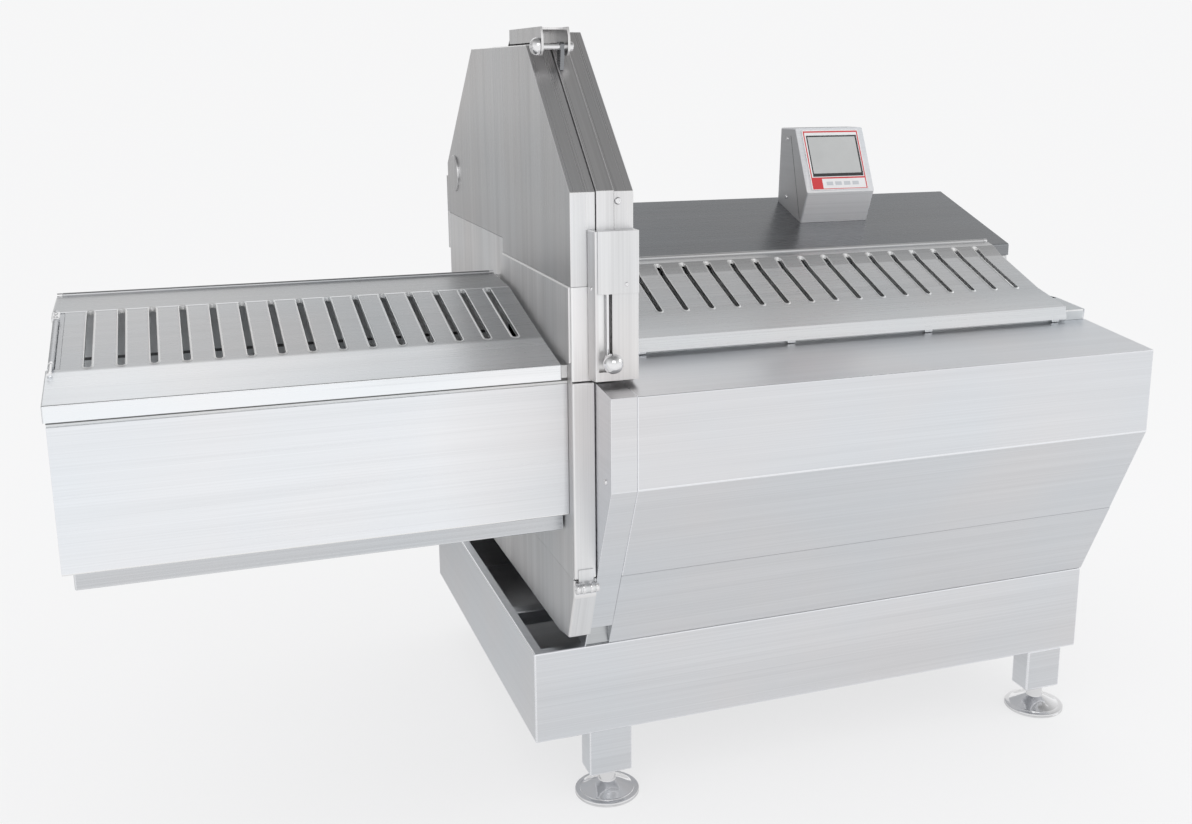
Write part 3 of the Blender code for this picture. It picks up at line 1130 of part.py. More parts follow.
def build_blade(shop, bright, steel, dark):
    """Make the sickle blade, its clamping hub, its shaft, the bearing housing and the belt drive."""
    pivot = (BLADE_LEFT, *BLADE_AXIS)
    blade_right = BLADE_LEFT + BLADE_THICKNESS
    hub_left = BLADE_LEFT - TOUCH_GAP - HUB_THICKNESS
    flange_left = blade_right + TOUCH_GAP
    flange_right = flange_left + SHAFT_FLANGE_THICKNESS
    blade = shop.outline("blade", blade_outline(), BLADE_LEFT, blade_right, bright)
    hole = shop.rod("blade_hole", "X", BLADE_AXIS, SPIGOT_RADIUS + TOUCH_GAP, hub_left - CUT_OVERRUN,
                    blade_right + CUT_OVERRUN, cutter=True)
    shop.cut(blade, hole)
    hub = shop.rod("blade_hub", "X", BLADE_AXIS, HUB_RADIUS, hub_left, BLADE_LEFT - TOUCH_GAP, steel)
    shop.cut(hub, hole)
    pulley_right = PULLEY_LEFT + PULLEY_WIDTH
    shaft = shop.rod("blade_shaft", "X", BLADE_AXIS, SHAFT_RADIUS, flange_right - SHAFT_FLANGE_THICKNESS / 2,
                     pulley_right, steel)
    shop.join(
        shaft,
        shop.rod("shaft_flange", "X", BLADE_AXIS, HUB_RADIUS, flange_left, flange_right, cutter=True),
        shop.rod("shaft_spigot", "X", BLADE_AXIS, SPIGOT_RADIUS, hub_left - SPIGOT_PROUD,
                 flange_left + SHAFT_FLANGE_THICKNESS / 2, cutter=True))
    driven = shop.rod("driven_pulley", "X", BLADE_AXIS, DRIVEN_PULLEY_RADIUS, PULLEY_LEFT, pulley_right, steel)
    shop.cut(driven, shop.rod("driven_bore", "X", BLADE_AXIS, SHAFT_RADIUS + TOUCH_GAP,
                              PULLEY_LEFT - CUT_OVERRUN, pulley_right + CUT_OVERRUN, cutter=True))
    for item in (blade, hub, shaft, driven):
        shop.set_pivot(item, pivot)

    bearing_left = PLATE_RIGHT + TOUCH_GAP
    bearing_right = bearing_left + BEARING_LENGTH
    bearing = shop.rod("bearing_housing", "X", BLADE_AXIS, BEARING_BODY_RADIUS, bearing_left, bearing_right,
                       steel)
    shop.join(bearing, shop.rod("bearing_flange", "X", BLADE_AXIS, BEARING_FLANGE_RADIUS, bearing_left,
                                bearing_left + BEARING_FLANGE_THICKNESS, cutter=True))
    shop.cut(bearing, shop.rod("bearing_bore", "X", BLADE_AXIS, SHAFT_RADIUS + RUNNING_GAP,
                               bearing_left - CUT_OVERRUN, bearing_right + CUT_OVERRUN, cutter=True))

    inside = belt_outline(BLADE_AXIS, DRIVEN_PULLEY_RADIUS + RUNNING_GAP, MOTOR_AXIS,
                          MOTOR_PULLEY_RADIUS + RUNNING_GAP, SMALL_SEGMENTS)
    outside = belt_outline(BLADE_AXIS, DRIVEN_PULLEY_RADIUS + BELT_THICKNESS, MOTOR_AXIS,
                           MOTOR_PULLEY_RADIUS + BELT_THICKNESS, SMALL_SEGMENTS)
    belt = shop.outline("drive_belt", outside, PULLEY_LEFT + BELT_EDGE, pulley_right - BELT_EDGE, dark)
    shop.cut(belt, shop.outline("drive_belt_inside", inside, PULLEY_LEFT - CUT_OVERRUN,
                                pulley_right + CUT_OVERRUN, cutter=True))

    pulley = shop.rod("motor_pulley", "X", MOTOR_AXIS, MOTOR_PULLEY_RADIUS, PULLEY_LEFT, pulley_right, steel)
    shop.join(pulley, shop.rod("motor_stub", "X", MOTOR_AXIS, MOTOR_SHAFT_RADIUS, PULLEY_LEFT + BELT_EDGE,
                               MOTOR_LEFT - RUNNING_GAP, cutter=True))
    shop.set_pivot(pulley, (PULLEY_LEFT, *MOTOR_AXIS))
    motor = shop.rod("blade_motor", "X", MOTOR_AXIS, MOTOR_RADIUS, MOTOR_LEFT, MOTOR_LEFT + MOTOR_LENGTH, dark)
    shop.join(motor, shop.box("motor_foot", (MOTOR_LEFT + MOTOR_FOOT_INSET,
                                             MOTOR_LEFT + MOTOR_LENGTH - MOTOR_FOOT_INSET),
                              (MOTOR_AXIS[0] - MOTOR_FOOT_HALF, MOTOR_AXIS[0] + MOTOR_FOOT_HALF),
                              (FRAME_TOP + TOUCH_GAP, MOTOR_AXIS[1] - MOTOR_FOOT_RISE), cutter=True))


def build_pusher(shop, satin, bright, dark):
    """Make the pusher carriage, its two guide rods, the lead screw and the feed motor."""
    head_right = PUSHER_LEFT + PUSHER_LENGTH
    middle = (PUSHER_LEFT + head_right) / 2
    arm_xs = (middle - ARM_LENGTH / 2, middle + ARM_LENGTH / 2)
    sleeve_xs = (middle - SLEEVE_LENGTH / 2, middle + SLEEVE_LENGTH / 2)
    head = shop.box("pusher_carriage", (PUSHER_LEFT, head_right),
                    (WELL_FRONT + PUSHER_SIDE_GAP, WELL_REAR - PUSHER_SIDE_GAP),
                    (WELL_FLOOR + PUSHER_SIDE_GAP, WELL_FLOOR + PUSHER_HEIGHT), satin)
    arm = shop.box("pusher_arm", arm_xs, (GUIDE_REAR, WELL_FRONT + PUSHER_LENGTH / 2),
                   (GUIDE_HEIGHT - ARM_HEIGHT / 2, GUIDE_HEIGHT + ARM_HEIGHT / 2), cutter=True)
    sleeve = shop.box("pusher_sleeve", sleeve_xs, (GUIDE_FRONT - SLEEVE_HALF, GUIDE_REAR + SLEEVE_HALF),
                      (GUIDE_HEIGHT - SLEEVE_HALF, GUIDE_HEIGHT + SLEEVE_HALF), cutter=True)
    holes = []
    for name, depth, radius in (("front", GUIDE_FRONT, GUIDE_RADIUS), ("rear", GUIDE_REAR, GUIDE_RADIUS),
                                ("screw", SCREW_DEPTH, SCREW_RADIUS)):
        holes.append(shop.rod("sleeve_bore_" + name, "X", (depth, GUIDE_HEIGHT), radius + RUNNING_GAP,
                              sleeve_xs[0] - CUT_OVERRUN, sleeve_xs[1] + CUT_OVERRUN, cutter=True))
    shop.join(head, arm, sleeve)
    shop.cut(head, *holes)
    shop.set_pivot(head, (middle, SCREW_DEPTH, GUIDE_HEIGHT))

    rods_left = BULKHEAD_LEFT + BULKHEAD_THICKNESS + TOUCH_GAP
    for name, depth in (("front", GUIDE_FRONT), ("rear", GUIDE_REAR)):
        shop.rod("guide_rod_" + name, "X", (depth, GUIDE_HEIGHT), GUIDE_RADIUS, rods_left, INNER_RIGHT, bright)
    motor_left = INNER_RIGHT - FEED_MOTOR_LENGTH
    place = (SCREW_DEPTH, GUIDE_HEIGHT)
    screw = shop.rod("lead_screw", "X", place, SCREW_RADIUS, rods_left, motor_left - RUNNING_GAP, bright)
    shop.set_pivot(screw, (rods_left, *place))
    shop.rod("feed_motor", "X", place, FEED_MOTOR_RADIUS, motor_left, INNER_RIGHT, dark)


def build_outfeed(shop, steel, satin, chrome, dark):
    """Make the outfeed's panel, frame, tray, belt and rollers."""
    shop.outline("outfeed_front_panel", sheet_outline(OUTFEED_PANEL_PATH, SHEET), OUTFEED_LEFT,
                 OUTFEED_RIGHT - TOUCH_GAP, steel)
    inner_front = OUTFEED_FRONT + SHEET + TOUCH_GAP
    bar_bottom = OUTFEED_PANEL_BOTTOM + SHEET + TOUCH_GAP
    lid_under = slope_height(LID_LIP_TOP, LID_BAND_REAR, inner_front) - COVER_END_FLANGE - 2 * TOUCH_GAP
    wall_top = LID_PIVOT[1] - BARREL_RADIUS - TOUCH_GAP
    frame = shop.box("outfeed_frame", (OUTFEED_LEFT, OUTFEED_RIGHT), (inner_front, inner_front + SHEET),
                     (bar_bottom, lid_under), satin)
    added = [shop.box("outfeed_rear_wall", (OUTFEED_LEFT, OUTFEED_RIGHT),
                      (OUTFEED_REAR_WALL, OUTFEED_REAR_WALL + SHEET), (bar_bottom, wall_top), cutter=True)]
    for index in range(CROSS_BAR_COUNT):
        start = CROSS_BAR_LEFT + index * CROSS_BAR_PITCH
        added.append(shop.box(f"outfeed_cross_bar_{index}", (start, start + CROSS_BAR_WIDTH),
                              (inner_front + SHEET / 2, OUTFEED_REAR_WALL + SHEET / 2),
                              (bar_bottom + SHEET, bar_bottom + SHEET + CROSS_BAR_THICKNESS), cutter=True))
    for name, front in (("front", RAIL_FRONT), ("rear", RAIL_REAR)):
        added.append(shop.box("outfeed_rail_" + name, (RAIL_LEFT, RAIL_RIGHT), (front, front + RAIL_THICKNESS),
                              (bar_bottom + SHEET + CROSS_BAR_THICKNESS / 2, RAIL_TOP), cutter=True))
    shop.join(frame, *added)

    belt_front = RAIL_FRONT + RAIL_THICKNESS + CONVEYOR_BELT_EDGE
    belt_rear = RAIL_REAR - CONVEYOR_BELT_EDGE
    stub_ends = (RAIL_FRONT - RAIL_THICKNESS, RAIL_REAR + 2 * RAIL_THICKNESS)
    holes = []
    for name, centre_x in (("idler_roller", IDLER_X), ("drive_roller", DRIVE_ROLLER_X)):
        place = (centre_x, ROLLER_HEIGHT)
        roller = shop.rod(name, "Y", place, ROLLER_RADIUS, belt_front - RAIL_THICKNESS / 2,
                          belt_rear + RAIL_THICKNESS / 2, chrome)
        shop.join(roller, shop.rod(name + "_stub", "Y", place, ROLLER_STUB_RADIUS, *stub_ends, cutter=True))
        shop.set_pivot(roller, (centre_x, belt_front, ROLLER_HEIGHT))
        holes.append(shop.rod(name + "_hole", "Y", place, ROLLER_STUB_RADIUS + RUNNING_GAP,
                              stub_ends[0] - SHEET, stub_ends[1] + SHEET, cutter=True))
    shop.cut(frame, *holes)

    shells = []
    for name, radius, ys in (
            ("conveyor_belt", ROLLER_RADIUS + CONVEYOR_BELT_THICKNESS, (belt_front, belt_rear)),
            ("conveyor_belt_inside", ROLLER_RADIUS + RUNNING_GAP,
             (belt_front - CUT_OVERRUN, belt_rear + CUT_OVERRUN))):
        loop = belt_outline((IDLER_X, -ROLLER_HEIGHT), radius, (DRIVE_ROLLER_X, -ROLLER_HEIGHT), radius,
                            SMALL_SEGMENTS)
        mesh = shop.mesh_from_outline(name, loop, ys[0], ys[1])
        mesh.transform(Matrix(((0, 1, 0, 0), (1, 0, 0, 0), (0, 0, -1, 0), (0, 0, 0, 1))))
        shells.append(shop.add(name, mesh, dark, cutter=name != "conveyor_belt"))
    shop.cut(shells[0], shells[1])

    tray_top = OUTFEED_PANEL_BOTTOM - TOUCH_GAP
    tray = shop.box("outfeed_tray", (OUTFEED_TRAY_LEFT, OUTFEED_TRAY_RIGHT),
                    (OUTFEED_TRAY_FRONT, OUTFEED_TRAY_REAR), (OUTFEED_TRAY_BOTTOM, tray_top), satin)
    hollow = shop.box("outfeed_tray_hollow", (OUTFEED_TRAY_LEFT + SHEET, OUTFEED_TRAY_RIGHT - SHEET),
                      (OUTFEED_TRAY_FRONT + SHEET, OUTFEED_TRAY_REAR - SHEET),
                      (OUTFEED_TRAY_BOTTOM + SHEET, tray_top + CUT_OVERRUN), cutter=True)
    shop.cut(tray, hollow)


def build_lid(shop, satin, chrome):
    """Make the slotted outfeed lid, its hinge rod and the end flap in its notch."""
    slots = (LID_SLOT_COUNT, LID_SLOT_FIRST, LID_SLOT_PITCH, LID_SLOT_WIDTH, LID_SLOT_FRONT, LID_SLOT_REAR)
    limits = (LID_LEFT, LID_RIGHT)
    lid = slotted_cover(shop, "outfeed_lid", LID_PATH, limits, slots, LID_PIVOT, satin)
    notch = shop.box("lid_end_notch", (LID_LEFT - CUT_OVERRUN, LID_LEFT + NOTCH_WIDTH),
                     (NOTCH_FRONT, NOTCH_REAR), (LID_LIP_BOTTOM[1], LID_REAR[1] + CUT_OVERRUN), cutter=True)
    shop.cut(lid, notch)
    shop.set_pivot(lid, (LID_LEFT, *LID_PIVOT))
    wall_top = LID_PIVOT[1] - BARREL_RADIUS - TOUCH_GAP
    hinge_rod(shop, "lid_hinge_rod", limits, LID_PIVOT, wall_top, chrome)

    lift = FLAP_ROD_RISE
    front = Vector((NOTCH_FRONT, slope_height(LID_BAND_REAR, LID_FIELD_REAR, NOTCH_FRONT) + lift))
    rear = Vector((NOTCH_REAR, slope_height(LID_BAND_REAR, LID_FIELD_REAR, NOTCH_REAR) + lift))
    along = (rear - front).normalized()
    rod_start = front + along * FLAP_END_GAP
    rod_end = rear - along * (FLAP_ROD_RADIUS * along.y + FLAP_END_GAP)
    length = (rod_end - rod_start).length
    flap = shop.rod("end_flap", "Y", (0, 0), FLAP_ROD_RADIUS, 0, length, chrome, segments=SMALL_SEGMENTS)
    tilt = Matrix.Rotation(math.atan2(along.y, along.x), 4, "X")
    flap.data.transform(Matrix.Translation((FLAP_X, *rod_start)) @ tilt)
    neck_front, neck_rear = rod_start.x + FLAP_NECK_INSET, rod_end.x - FLAP_NECK_INSET

    def under(depth, drop):
        return (depth, slope_height(rod_start, rod_end, depth) - drop)

    plate_outline = [(FLAP_FRONT, FLAP_BOTTOM), under(FLAP_FRONT, FLAP_SHOULDER_DROP),
                     under(neck_front, FLAP_SHOULDER_DROP), under(neck_front, 0), under(neck_rear, 0),
                     under(neck_rear, FLAP_SHOULDER_DROP), (FLAP_REAR, under(neck_rear, FLAP_SHOULDER_DROP)[1]),
                     (FLAP_REAR, FLAP_BOTTOM)]
    plate = shop.outline("end_flap_plate", plate_outline, FLAP_X - FLAP_THICKNESS / 2,
                         FLAP_X + FLAP_THICKNESS / 2, cutter=True)
    shop.join(flap, plate)
    shop.set_pivot(flap, (FLAP_X, *rod_start))


def main():
    """Build the whole machine."""
    empty_scene()
    shop = Workshop()
    steel = make_material("brushed_stainless", (0.66, 0.68, 0.71), 0.32, 1.0)
    satin = make_material("satin_stainless", (0.50, 0.51, 0.53), 0.38, 1.0)
    bright = make_material("ground_steel", (0.72, 0.73, 0.75), 0.18, 1.0)
    chrome = make_material("chrome", (0.80, 0.80, 0.82), 0.08, 1.0)
    dark = make_material("dark_plastic", (0.05, 0.055, 0.06), 0.5, 0.0)
    pale = make_material("control_overlay", (0.75, 0.10, 0.10), 0.4, 0.0)

    build_base(shop, steel)
    build_legs(shop, steel, chrome)
    build_frame(shop, satin)
    build_body(shop, steel, satin)
    build_hood(shop, satin, chrome)
    build_control(shop, satin, pale, dark)
    build_main_plate(shop, satin)
    build_rim(shop, satin)
    build_fixed_half(shop, steel)
    build_left_casings(shop, steel)
    build_lower_cover(shop, steel, chrome)
    build_door(shop, steel, chrome)
    build_latch(shop, steel, chrome)
    build_clamp(shop, satin, chrome)
    build_blade(shop, bright, steel, dark)
    build_pusher(shop, satin, bright, dark)
    build_outfeed(shop, steel, satin, chrome, dark)
    build_lid(shop, satin, chrome)


main()
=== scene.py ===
"""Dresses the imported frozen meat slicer: rounded sheet bends, pressed slots, screws and brushed finishes.

Every length is in metres. New pieces are drawn in the machine's own frame, as in the part's source: X to
the right along the base, Y to the rear, Z up, and zero at the bottom front left corner of the base tray.
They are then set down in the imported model's frame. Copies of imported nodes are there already.
"""

from __future__ import annotations

import json
import logging
import math
from contextlib import contextmanager
from dataclasses import dataclass
from enum import Enum
from typing import Callable, Iterator, NamedTuple, Optional, Sequence

import bmesh
import bpy
from mathutils import Matrix, Vector


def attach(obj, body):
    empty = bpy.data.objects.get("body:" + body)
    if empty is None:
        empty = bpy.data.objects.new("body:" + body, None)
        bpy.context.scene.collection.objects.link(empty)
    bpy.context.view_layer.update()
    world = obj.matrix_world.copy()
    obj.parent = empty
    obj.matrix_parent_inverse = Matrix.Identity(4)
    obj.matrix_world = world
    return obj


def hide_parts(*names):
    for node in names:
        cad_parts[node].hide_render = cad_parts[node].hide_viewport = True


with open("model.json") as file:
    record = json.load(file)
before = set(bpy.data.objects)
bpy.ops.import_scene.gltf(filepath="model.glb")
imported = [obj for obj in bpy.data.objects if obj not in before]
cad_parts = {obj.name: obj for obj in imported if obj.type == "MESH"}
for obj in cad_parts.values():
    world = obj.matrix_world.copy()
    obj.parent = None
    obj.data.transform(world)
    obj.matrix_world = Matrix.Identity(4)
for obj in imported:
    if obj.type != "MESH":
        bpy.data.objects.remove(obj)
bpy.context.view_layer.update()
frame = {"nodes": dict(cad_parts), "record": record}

LOG = logging.getLogger("slicer_scene")
MACHINE_ZERO = Vector((-0.213, -0.357, 0.137))
MACHINE = "machine"
CHROME_SLOT = "chrome"
LEFTWARDS = (-1, 0, 0)
FORWARDS = (0, -1, 0)

MERGE_DISTANCE = 0.00001
KEY_DIGITS = 4
FLAT_ANGLE = math.radians(0.8)
FOLD_ANGLE = math.radians(8)
SMOOTH_ANGLE = math.radians(34)
RIM_ANGLE = math.radians(36)
BROAD_FACE = 0.0045
FOLD_SLACK = 0.000002
FOLD_STEPS = 4
FOLD_MARK = "fold"
SHEET_BEND = 0.0030
RADIUS_SHARES = (1.0, 0.62, 0.35, 0.18)
RIM_BEVEL = 0.00045
RIM_STEPS = 2
BLOCK_BEVEL = 0.0006
BLOCK_STEPS = 3
NORMAL_WEIGHT = 60

Piece = bpy.types.Object
Socket = bpy.types.NodeSocket
Spot = Sequence[float]
Profile = Sequence[tuple[float, float]]
Keys = set[tuple[float, ...]]

BODY_OF = {node: body for body, nodes in frame["record"]["behaviour"]["bodies"].items() for node in nodes}
SLOT_OF = {row["node"]: row["material_slot"] for row in frame["record"]["subparts"]}


# ---------------------------------------------------------------------------------------------------------
# Tools for modelling with operators
# ---------------------------------------------------------------------------------------------------------


def select_only(piece: Piece) -> None:
    """Deselect everything, then select one piece and make it active."""
    bpy.ops.object.select_all(action="DESELECT")
    piece.select_set(True)
    bpy.context.view_layer.objects.active = piece


@contextmanager
def editing(piece: Piece, mode: str = "EDGE") -> Iterator[None]:
    """Open a piece in edit mode with nothing selected, and close it again afterwards.

    Args:
        piece: the mesh object to edit.
        mode: the select mode, VERT, EDGE or FACE.
    """
    select_only(piece)
    bpy.ops.object.mode_set(mode="EDIT")
    bpy.ops.mesh.select_mode(type=mode)
    bpy.ops.mesh.select_all(action="DESELECT")
    yield
    bpy.ops.object.mode_set(mode="OBJECT")


def select_edges(piece: Piece, test: Callable[[bmesh.types.BMEdge], bool]) -> int:
    """Select the edges of the piece in edit mode that pass a test.

    Args:
        piece: the mesh object in edit mode.
        test: takes an edge and says whether it is selected.

    Returns:
        How many edges are selected.
    """
    shape = bmesh.from_edit_mesh(piece.data)
    found = [edge for edge in shape.edges if test(edge)]
    for edge in found:
        edge.select_set(True)
    bmesh.update_edit_mesh(piece.data)
    return len(found)


def select_whole() -> None:
    """Select all of the mesh in edit mode."""
    bpy.ops.mesh.select_all(action="SELECT")


def face_outwards() -> None:
    """Turn all faces of the mesh in edit mode outwards."""
    select_whole()
    bpy.ops.mesh.normals_make_consistent(inside=False)


def round_edges(piece: Piece, bevel: float, steps: int = BLOCK_STEPS) -> None:
    """Round all edges of a closed piece."""
    with editing(piece):
        select_whole()
        bpy.ops.mesh.bevel(offset=bevel, segments=steps, affect="EDGES", clamp_overlap=True)


def apply_modifier(piece: Piece, kind: str, **settings: object) -> None:
    """Add a modifier with its settings and apply it at once.

    Args:
        piece: the object that gets it.
        kind: Blender's name of the modifier's type.
        settings: the modifier's values by name.
    """
    select_only(piece)
    modifier = piece.modifiers.new(kind.lower(), kind)
    for name, value in settings.items():
        setattr(modifier, name, value)
    bpy.ops.object.modifier_apply(modifier=modifier.name)


def start_from_vertex(name: str) -> Piece:
    """Return a new piece that is a single vertex at zero, from which a shape is extruded."""
    bpy.ops.object.select_all(action="DESELECT")
    bpy.ops.mesh.primitive_plane_add(size=0.01, location=(0, 0, 0))
    piece = bpy.context.object
    piece.name = name
    with editing(piece, "VERT"):
        select_whole()
        bpy.ops.mesh.merge(type="CENTER")
    return piece


def extrude_along(points: Sequence[Vector]) -> None:
    """Move the selected vertex to the first point, and extrude it through the others."""
    select_whole()
    bpy.ops.transform.translate(value=points[0])
    for first, second in zip(points, points[1:]):
        bpy.ops.mesh.extrude_vertices_move(TRANSFORM_OT_translate={"value": second - first})


def turned(name: str, profile: Profile, steps: int = 48) -> Piece:
    """Spin a profile about Z.

    Args:
        name: the new piece's name.
        profile: radius and height of each point, from one pole or edge to the other.
        steps: how many steps the full turn has.

    Returns:
        The closed piece, with its zero on the axis.
    """
    piece = start_from_vertex(name)
    with editing(piece, "VERT"):
        extrude_along([Vector((radius, 0, height)) for radius, height in profile])
        select_whole()
        bpy.ops.mesh.spin(steps=steps, angle=2 * math.pi, center=(0, 0, 0), axis=(0, 0, 1))
        select_whole()
        bpy.ops.mesh.remove_doubles(threshold=MERGE_DISTANCE)
        face_outwards()
    return piece


def rectangle(name: str, low: Spot, high: Spot, height: float = 0.0) -> Piece:
    """Return a flat rectangle, from which a film or a pressing is shaped.

    Args:
        name: the new piece's name.
        low: its lowest X and Y.
        high: its highest X and Y.
        height: its Z.
    """
    bpy.ops.object.select_all(action="DESELECT")
    middle = ((low[0] + high[0]) / 2, (low[1] + high[1]) / 2, height)
    bpy.ops.mesh.primitive_plane_add(size=1, location=middle)
    piece = bpy.context.object
    piece.name = name
    piece.scale = (high[0] - low[0], high[1] - low[1], 1)
    bpy.ops.object.transform_apply(location=True, rotation=True, scale=True)
    return piece


def block(name: str, low: Spot, high: Spot, bevel: float = BLOCK_BEVEL,
          steps: int = BLOCK_STEPS) -> Piece:
    """Return a block with rounded edges.

    Args:
        name: the new piece's name.
        low: its lowest corner.
        high: its highest corner.
        bevel: the width of its rounded edges.
        steps: how many steps each rounded edge has.
    """
    bpy.ops.object.select_all(action="DESELECT")
    middle = (Vector(low) + Vector(high)) / 2
    bpy.ops.mesh.primitive_cube_add(size=1, location=middle, scale=Vector(high) - Vector(low))
    piece = bpy.context.object
    piece.name = name
    bpy.ops.object.transform_apply(location=True, rotation=True, scale=True)
    round_edges(piece, bevel, steps)
    return piece


def plate(name: str, outline: Profile, left: float, width: float, bevel: float = BLOCK_BEVEL) -> Piece:
    """Return an upright plate with rounded edges.

    Args:
        name: the new piece's name.
        outline: depth and height of its corners, in order.
        left: its left face.
        width: its thickness.
        bevel: the width of its rounded edges.
    """
    piece = start_from_vertex(name)
    with editing(piece, "VERT"):
        extrude_along([Vector((left, depth, height)) for depth, height in outline])
        select_whole()
        bpy.ops.mesh.edge_face_add()
        bpy.ops.mesh.extrude_region_move(TRANSFORM_OT_translate={"value": (width, 0, 0)})
        face_outwards()
    round_edges(piece, bevel)
    return piece


def set_down(piece: Piece, turn: Matrix = Matrix.Identity(4), at: Spot = (0, 0, 0)) -> None:
    """Turn a piece about its zero, put it at a place in the machine's frame, and keep both in its mesh."""
    piece.data.transform(Matrix.Translation(MACHINE_ZERO + Vector(at)) @ turn)


def turn_towards(direction: Spot) -> Matrix:
    """Return the turn that points Z in a direction."""
    return Vector(direction).to_track_quat("Z", "Y").to_matrix().to_4x4()


def joined(name: str, pieces: Sequence[Piece]) -> Piece:
    """Join pieces into the first one and name it."""
    select_only(pieces[0])
    for piece in pieces[1:]:
        piece.select_set(True)
    bpy.ops.object.join()
    pieces[0].name = name
    return pieces[0]


def copied(piece: Piece) -> Piece:
    """Return a copy of a piece with its own mesh."""
    copy = piece.copy()
    copy.data = piece.data.copy()
    bpy.context.scene.collection.objects.link(copy)
    return copy


def set_out(name: str, pattern: Piece, places: Sequence[tuple[Matrix, Spot]]) -> Piece:
    """Set copies of a pattern down as one piece, and delete the pattern.

    Args:
        name: the new piece's name.
        pattern: what is copied.
        places: turn and place of each copy in the machine's frame.

    Returns:
        The new piece.
    """
    made = []
    for turn, at in places:
        made.append(copied(pattern))
        made[-1].data.transform(Matrix.Translation(Vector(at)) @ turn)
    bpy.data.objects.remove(pattern, do_unlink=True)
    piece = joined(name, made)
    set_down(piece)
    return piece


def move_right_side(piece: Piece, edge: float, distance: float) -> None:
    """Move all of a piece that lies from an edge on, by a distance along X.

    Args:
        piece: the piece to reshape.
        edge: the edge's X in the machine's frame.
        distance: how far it moves to the right.
    """
    for vertex in piece.data.vertices:
        if vertex.co.x - MACHINE_ZERO.x > edge - MERGE_DISTANCE:
            vertex.co.x += distance


def copy_of_node(node: str, name: str) -> Piece:
    """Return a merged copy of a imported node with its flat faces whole, ready to be worked on."""
    mesh = frame["nodes"][node].data.copy()
    mesh.materials.clear()
    piece = bpy.data.objects.new(name, mesh)
    bpy.context.scene.collection.objects.link(piece)
    select_only(piece)
    bpy.ops.mesh.customdata_custom_splitnormals_clear()
    with editing(piece):
        select_whole()
        bpy.ops.mesh.remove_doubles(threshold=MERGE_DISTANCE)
        bpy.ops.mesh.dissolve_limited(angle_limit=FLAT_ANGLE)
        face_outwards()
    return piece


def breadth(face: bmesh.types.BMFace) -> float:
    """Return a face's mean width: its area over its longest edge."""
    longest = max(edge.calc_length() for edge in face.edges)
    return face.calc_area() / longest if longest > 0 else 0.0


def edge_key(edge: bmesh.types.BMEdge) -> tuple[float, ...]:
    """Return an edge's middle and length in tenths of a millimetre, which name it while others change."""
    middle = (edge.verts[0].co + edge.verts[1].co) / 2
    return (*(round(value, KEY_DIGITS) for value in middle), round(edge.calc_length(), KEY_DIGITS))


def is_bend(edge: bmesh.types.BMEdge) -> bool:
    """Say whether an edge is an outer bend between two broad faces."""
    if len(edge.link_faces) != 2 or not edge.is_convex or edge.calc_face_angle() < FOLD_ANGLE:
        return False
    return all(breadth(face) > BROAD_FACE for face in edge.link_faces)


def next_chain(piece: Piece, tried: Keys) -> Keys:
    """Return the keys of one connected chain of bends that hasn't been tried, and note them as tried."""
    shape = bmesh.new()
    shape.from_mesh(piece.data)
    bends = {edge for edge in shape.edges if is_bend(edge) and edge_key(edge) not in tried}
    waiting = [min(bends, key=edge_key)] if bends else []
    chain = set(waiting)
    while waiting:
        edge = waiting.pop()
        for vertex in edge.verts:
            for other in vertex.link_edges:
                if other in bends and other not in chain:
                    chain.add(other)
                    waiting.append(other)
    keys = {edge_key(edge) for edge in chain}
    shape.free()
    tried |= keys
    return keys


def folded_over(mesh: bpy.types.Mesh) -> float:
    """Return how much area of a mesh's faces lies folded over itself."""
    mesh.calc_loop_triangles()
    extra = 0.0
    for triangle in mesh.loop_triangles:
        a, b, c = (mesh.vertices[index].co for index in triangle.vertices)
        across = (b - a).cross(c - a) / 2
        extra += across.length - across.dot(mesh.polygons[triangle.polygon_index].normal)
    return extra


def box_of(mesh: bpy.types.Mesh) -> tuple[Vector, Vector]:
    """Return a mesh's lowest and highest corner."""
    spots = [vertex.co for vertex in mesh.vertices]
    low = Vector([min(spot[axis] for spot in spots) for axis in range(3)])
    high = Vector([max(spot[axis] for spot in spots) for axis in range(3)])
    return low, high


class Soundness:
    """Tells whether a piece has stayed inside its first box with no more faces folded over."""

    def __init__(self, piece: Piece) -> None:
        """Measure the piece as it is now."""
        self.low, self.high = box_of(piece.data)
        self.limit = folded_over(piece.data) + FOLD_SLACK

    def passes(self, piece: Piece) -> bool:
        """Say whether the piece is still sound."""
        low, high = box_of(piece.data)
        kept = all(low[axis] > self.low[axis] - MERGE_DISTANCE
                   and high[axis] < self.high[axis] + MERGE_DISTANCE for axis in range(3))
        return kept and folded_over(piece.data) <= self.limit


def put_back(piece: Piece, before: bpy.types.Mesh) -> None:
    """Give a piece its earlier mesh back, and drop the spoilt one."""
    spoilt = piece.data
    piece.data = before
    bpy.data.meshes.remove(spoilt)


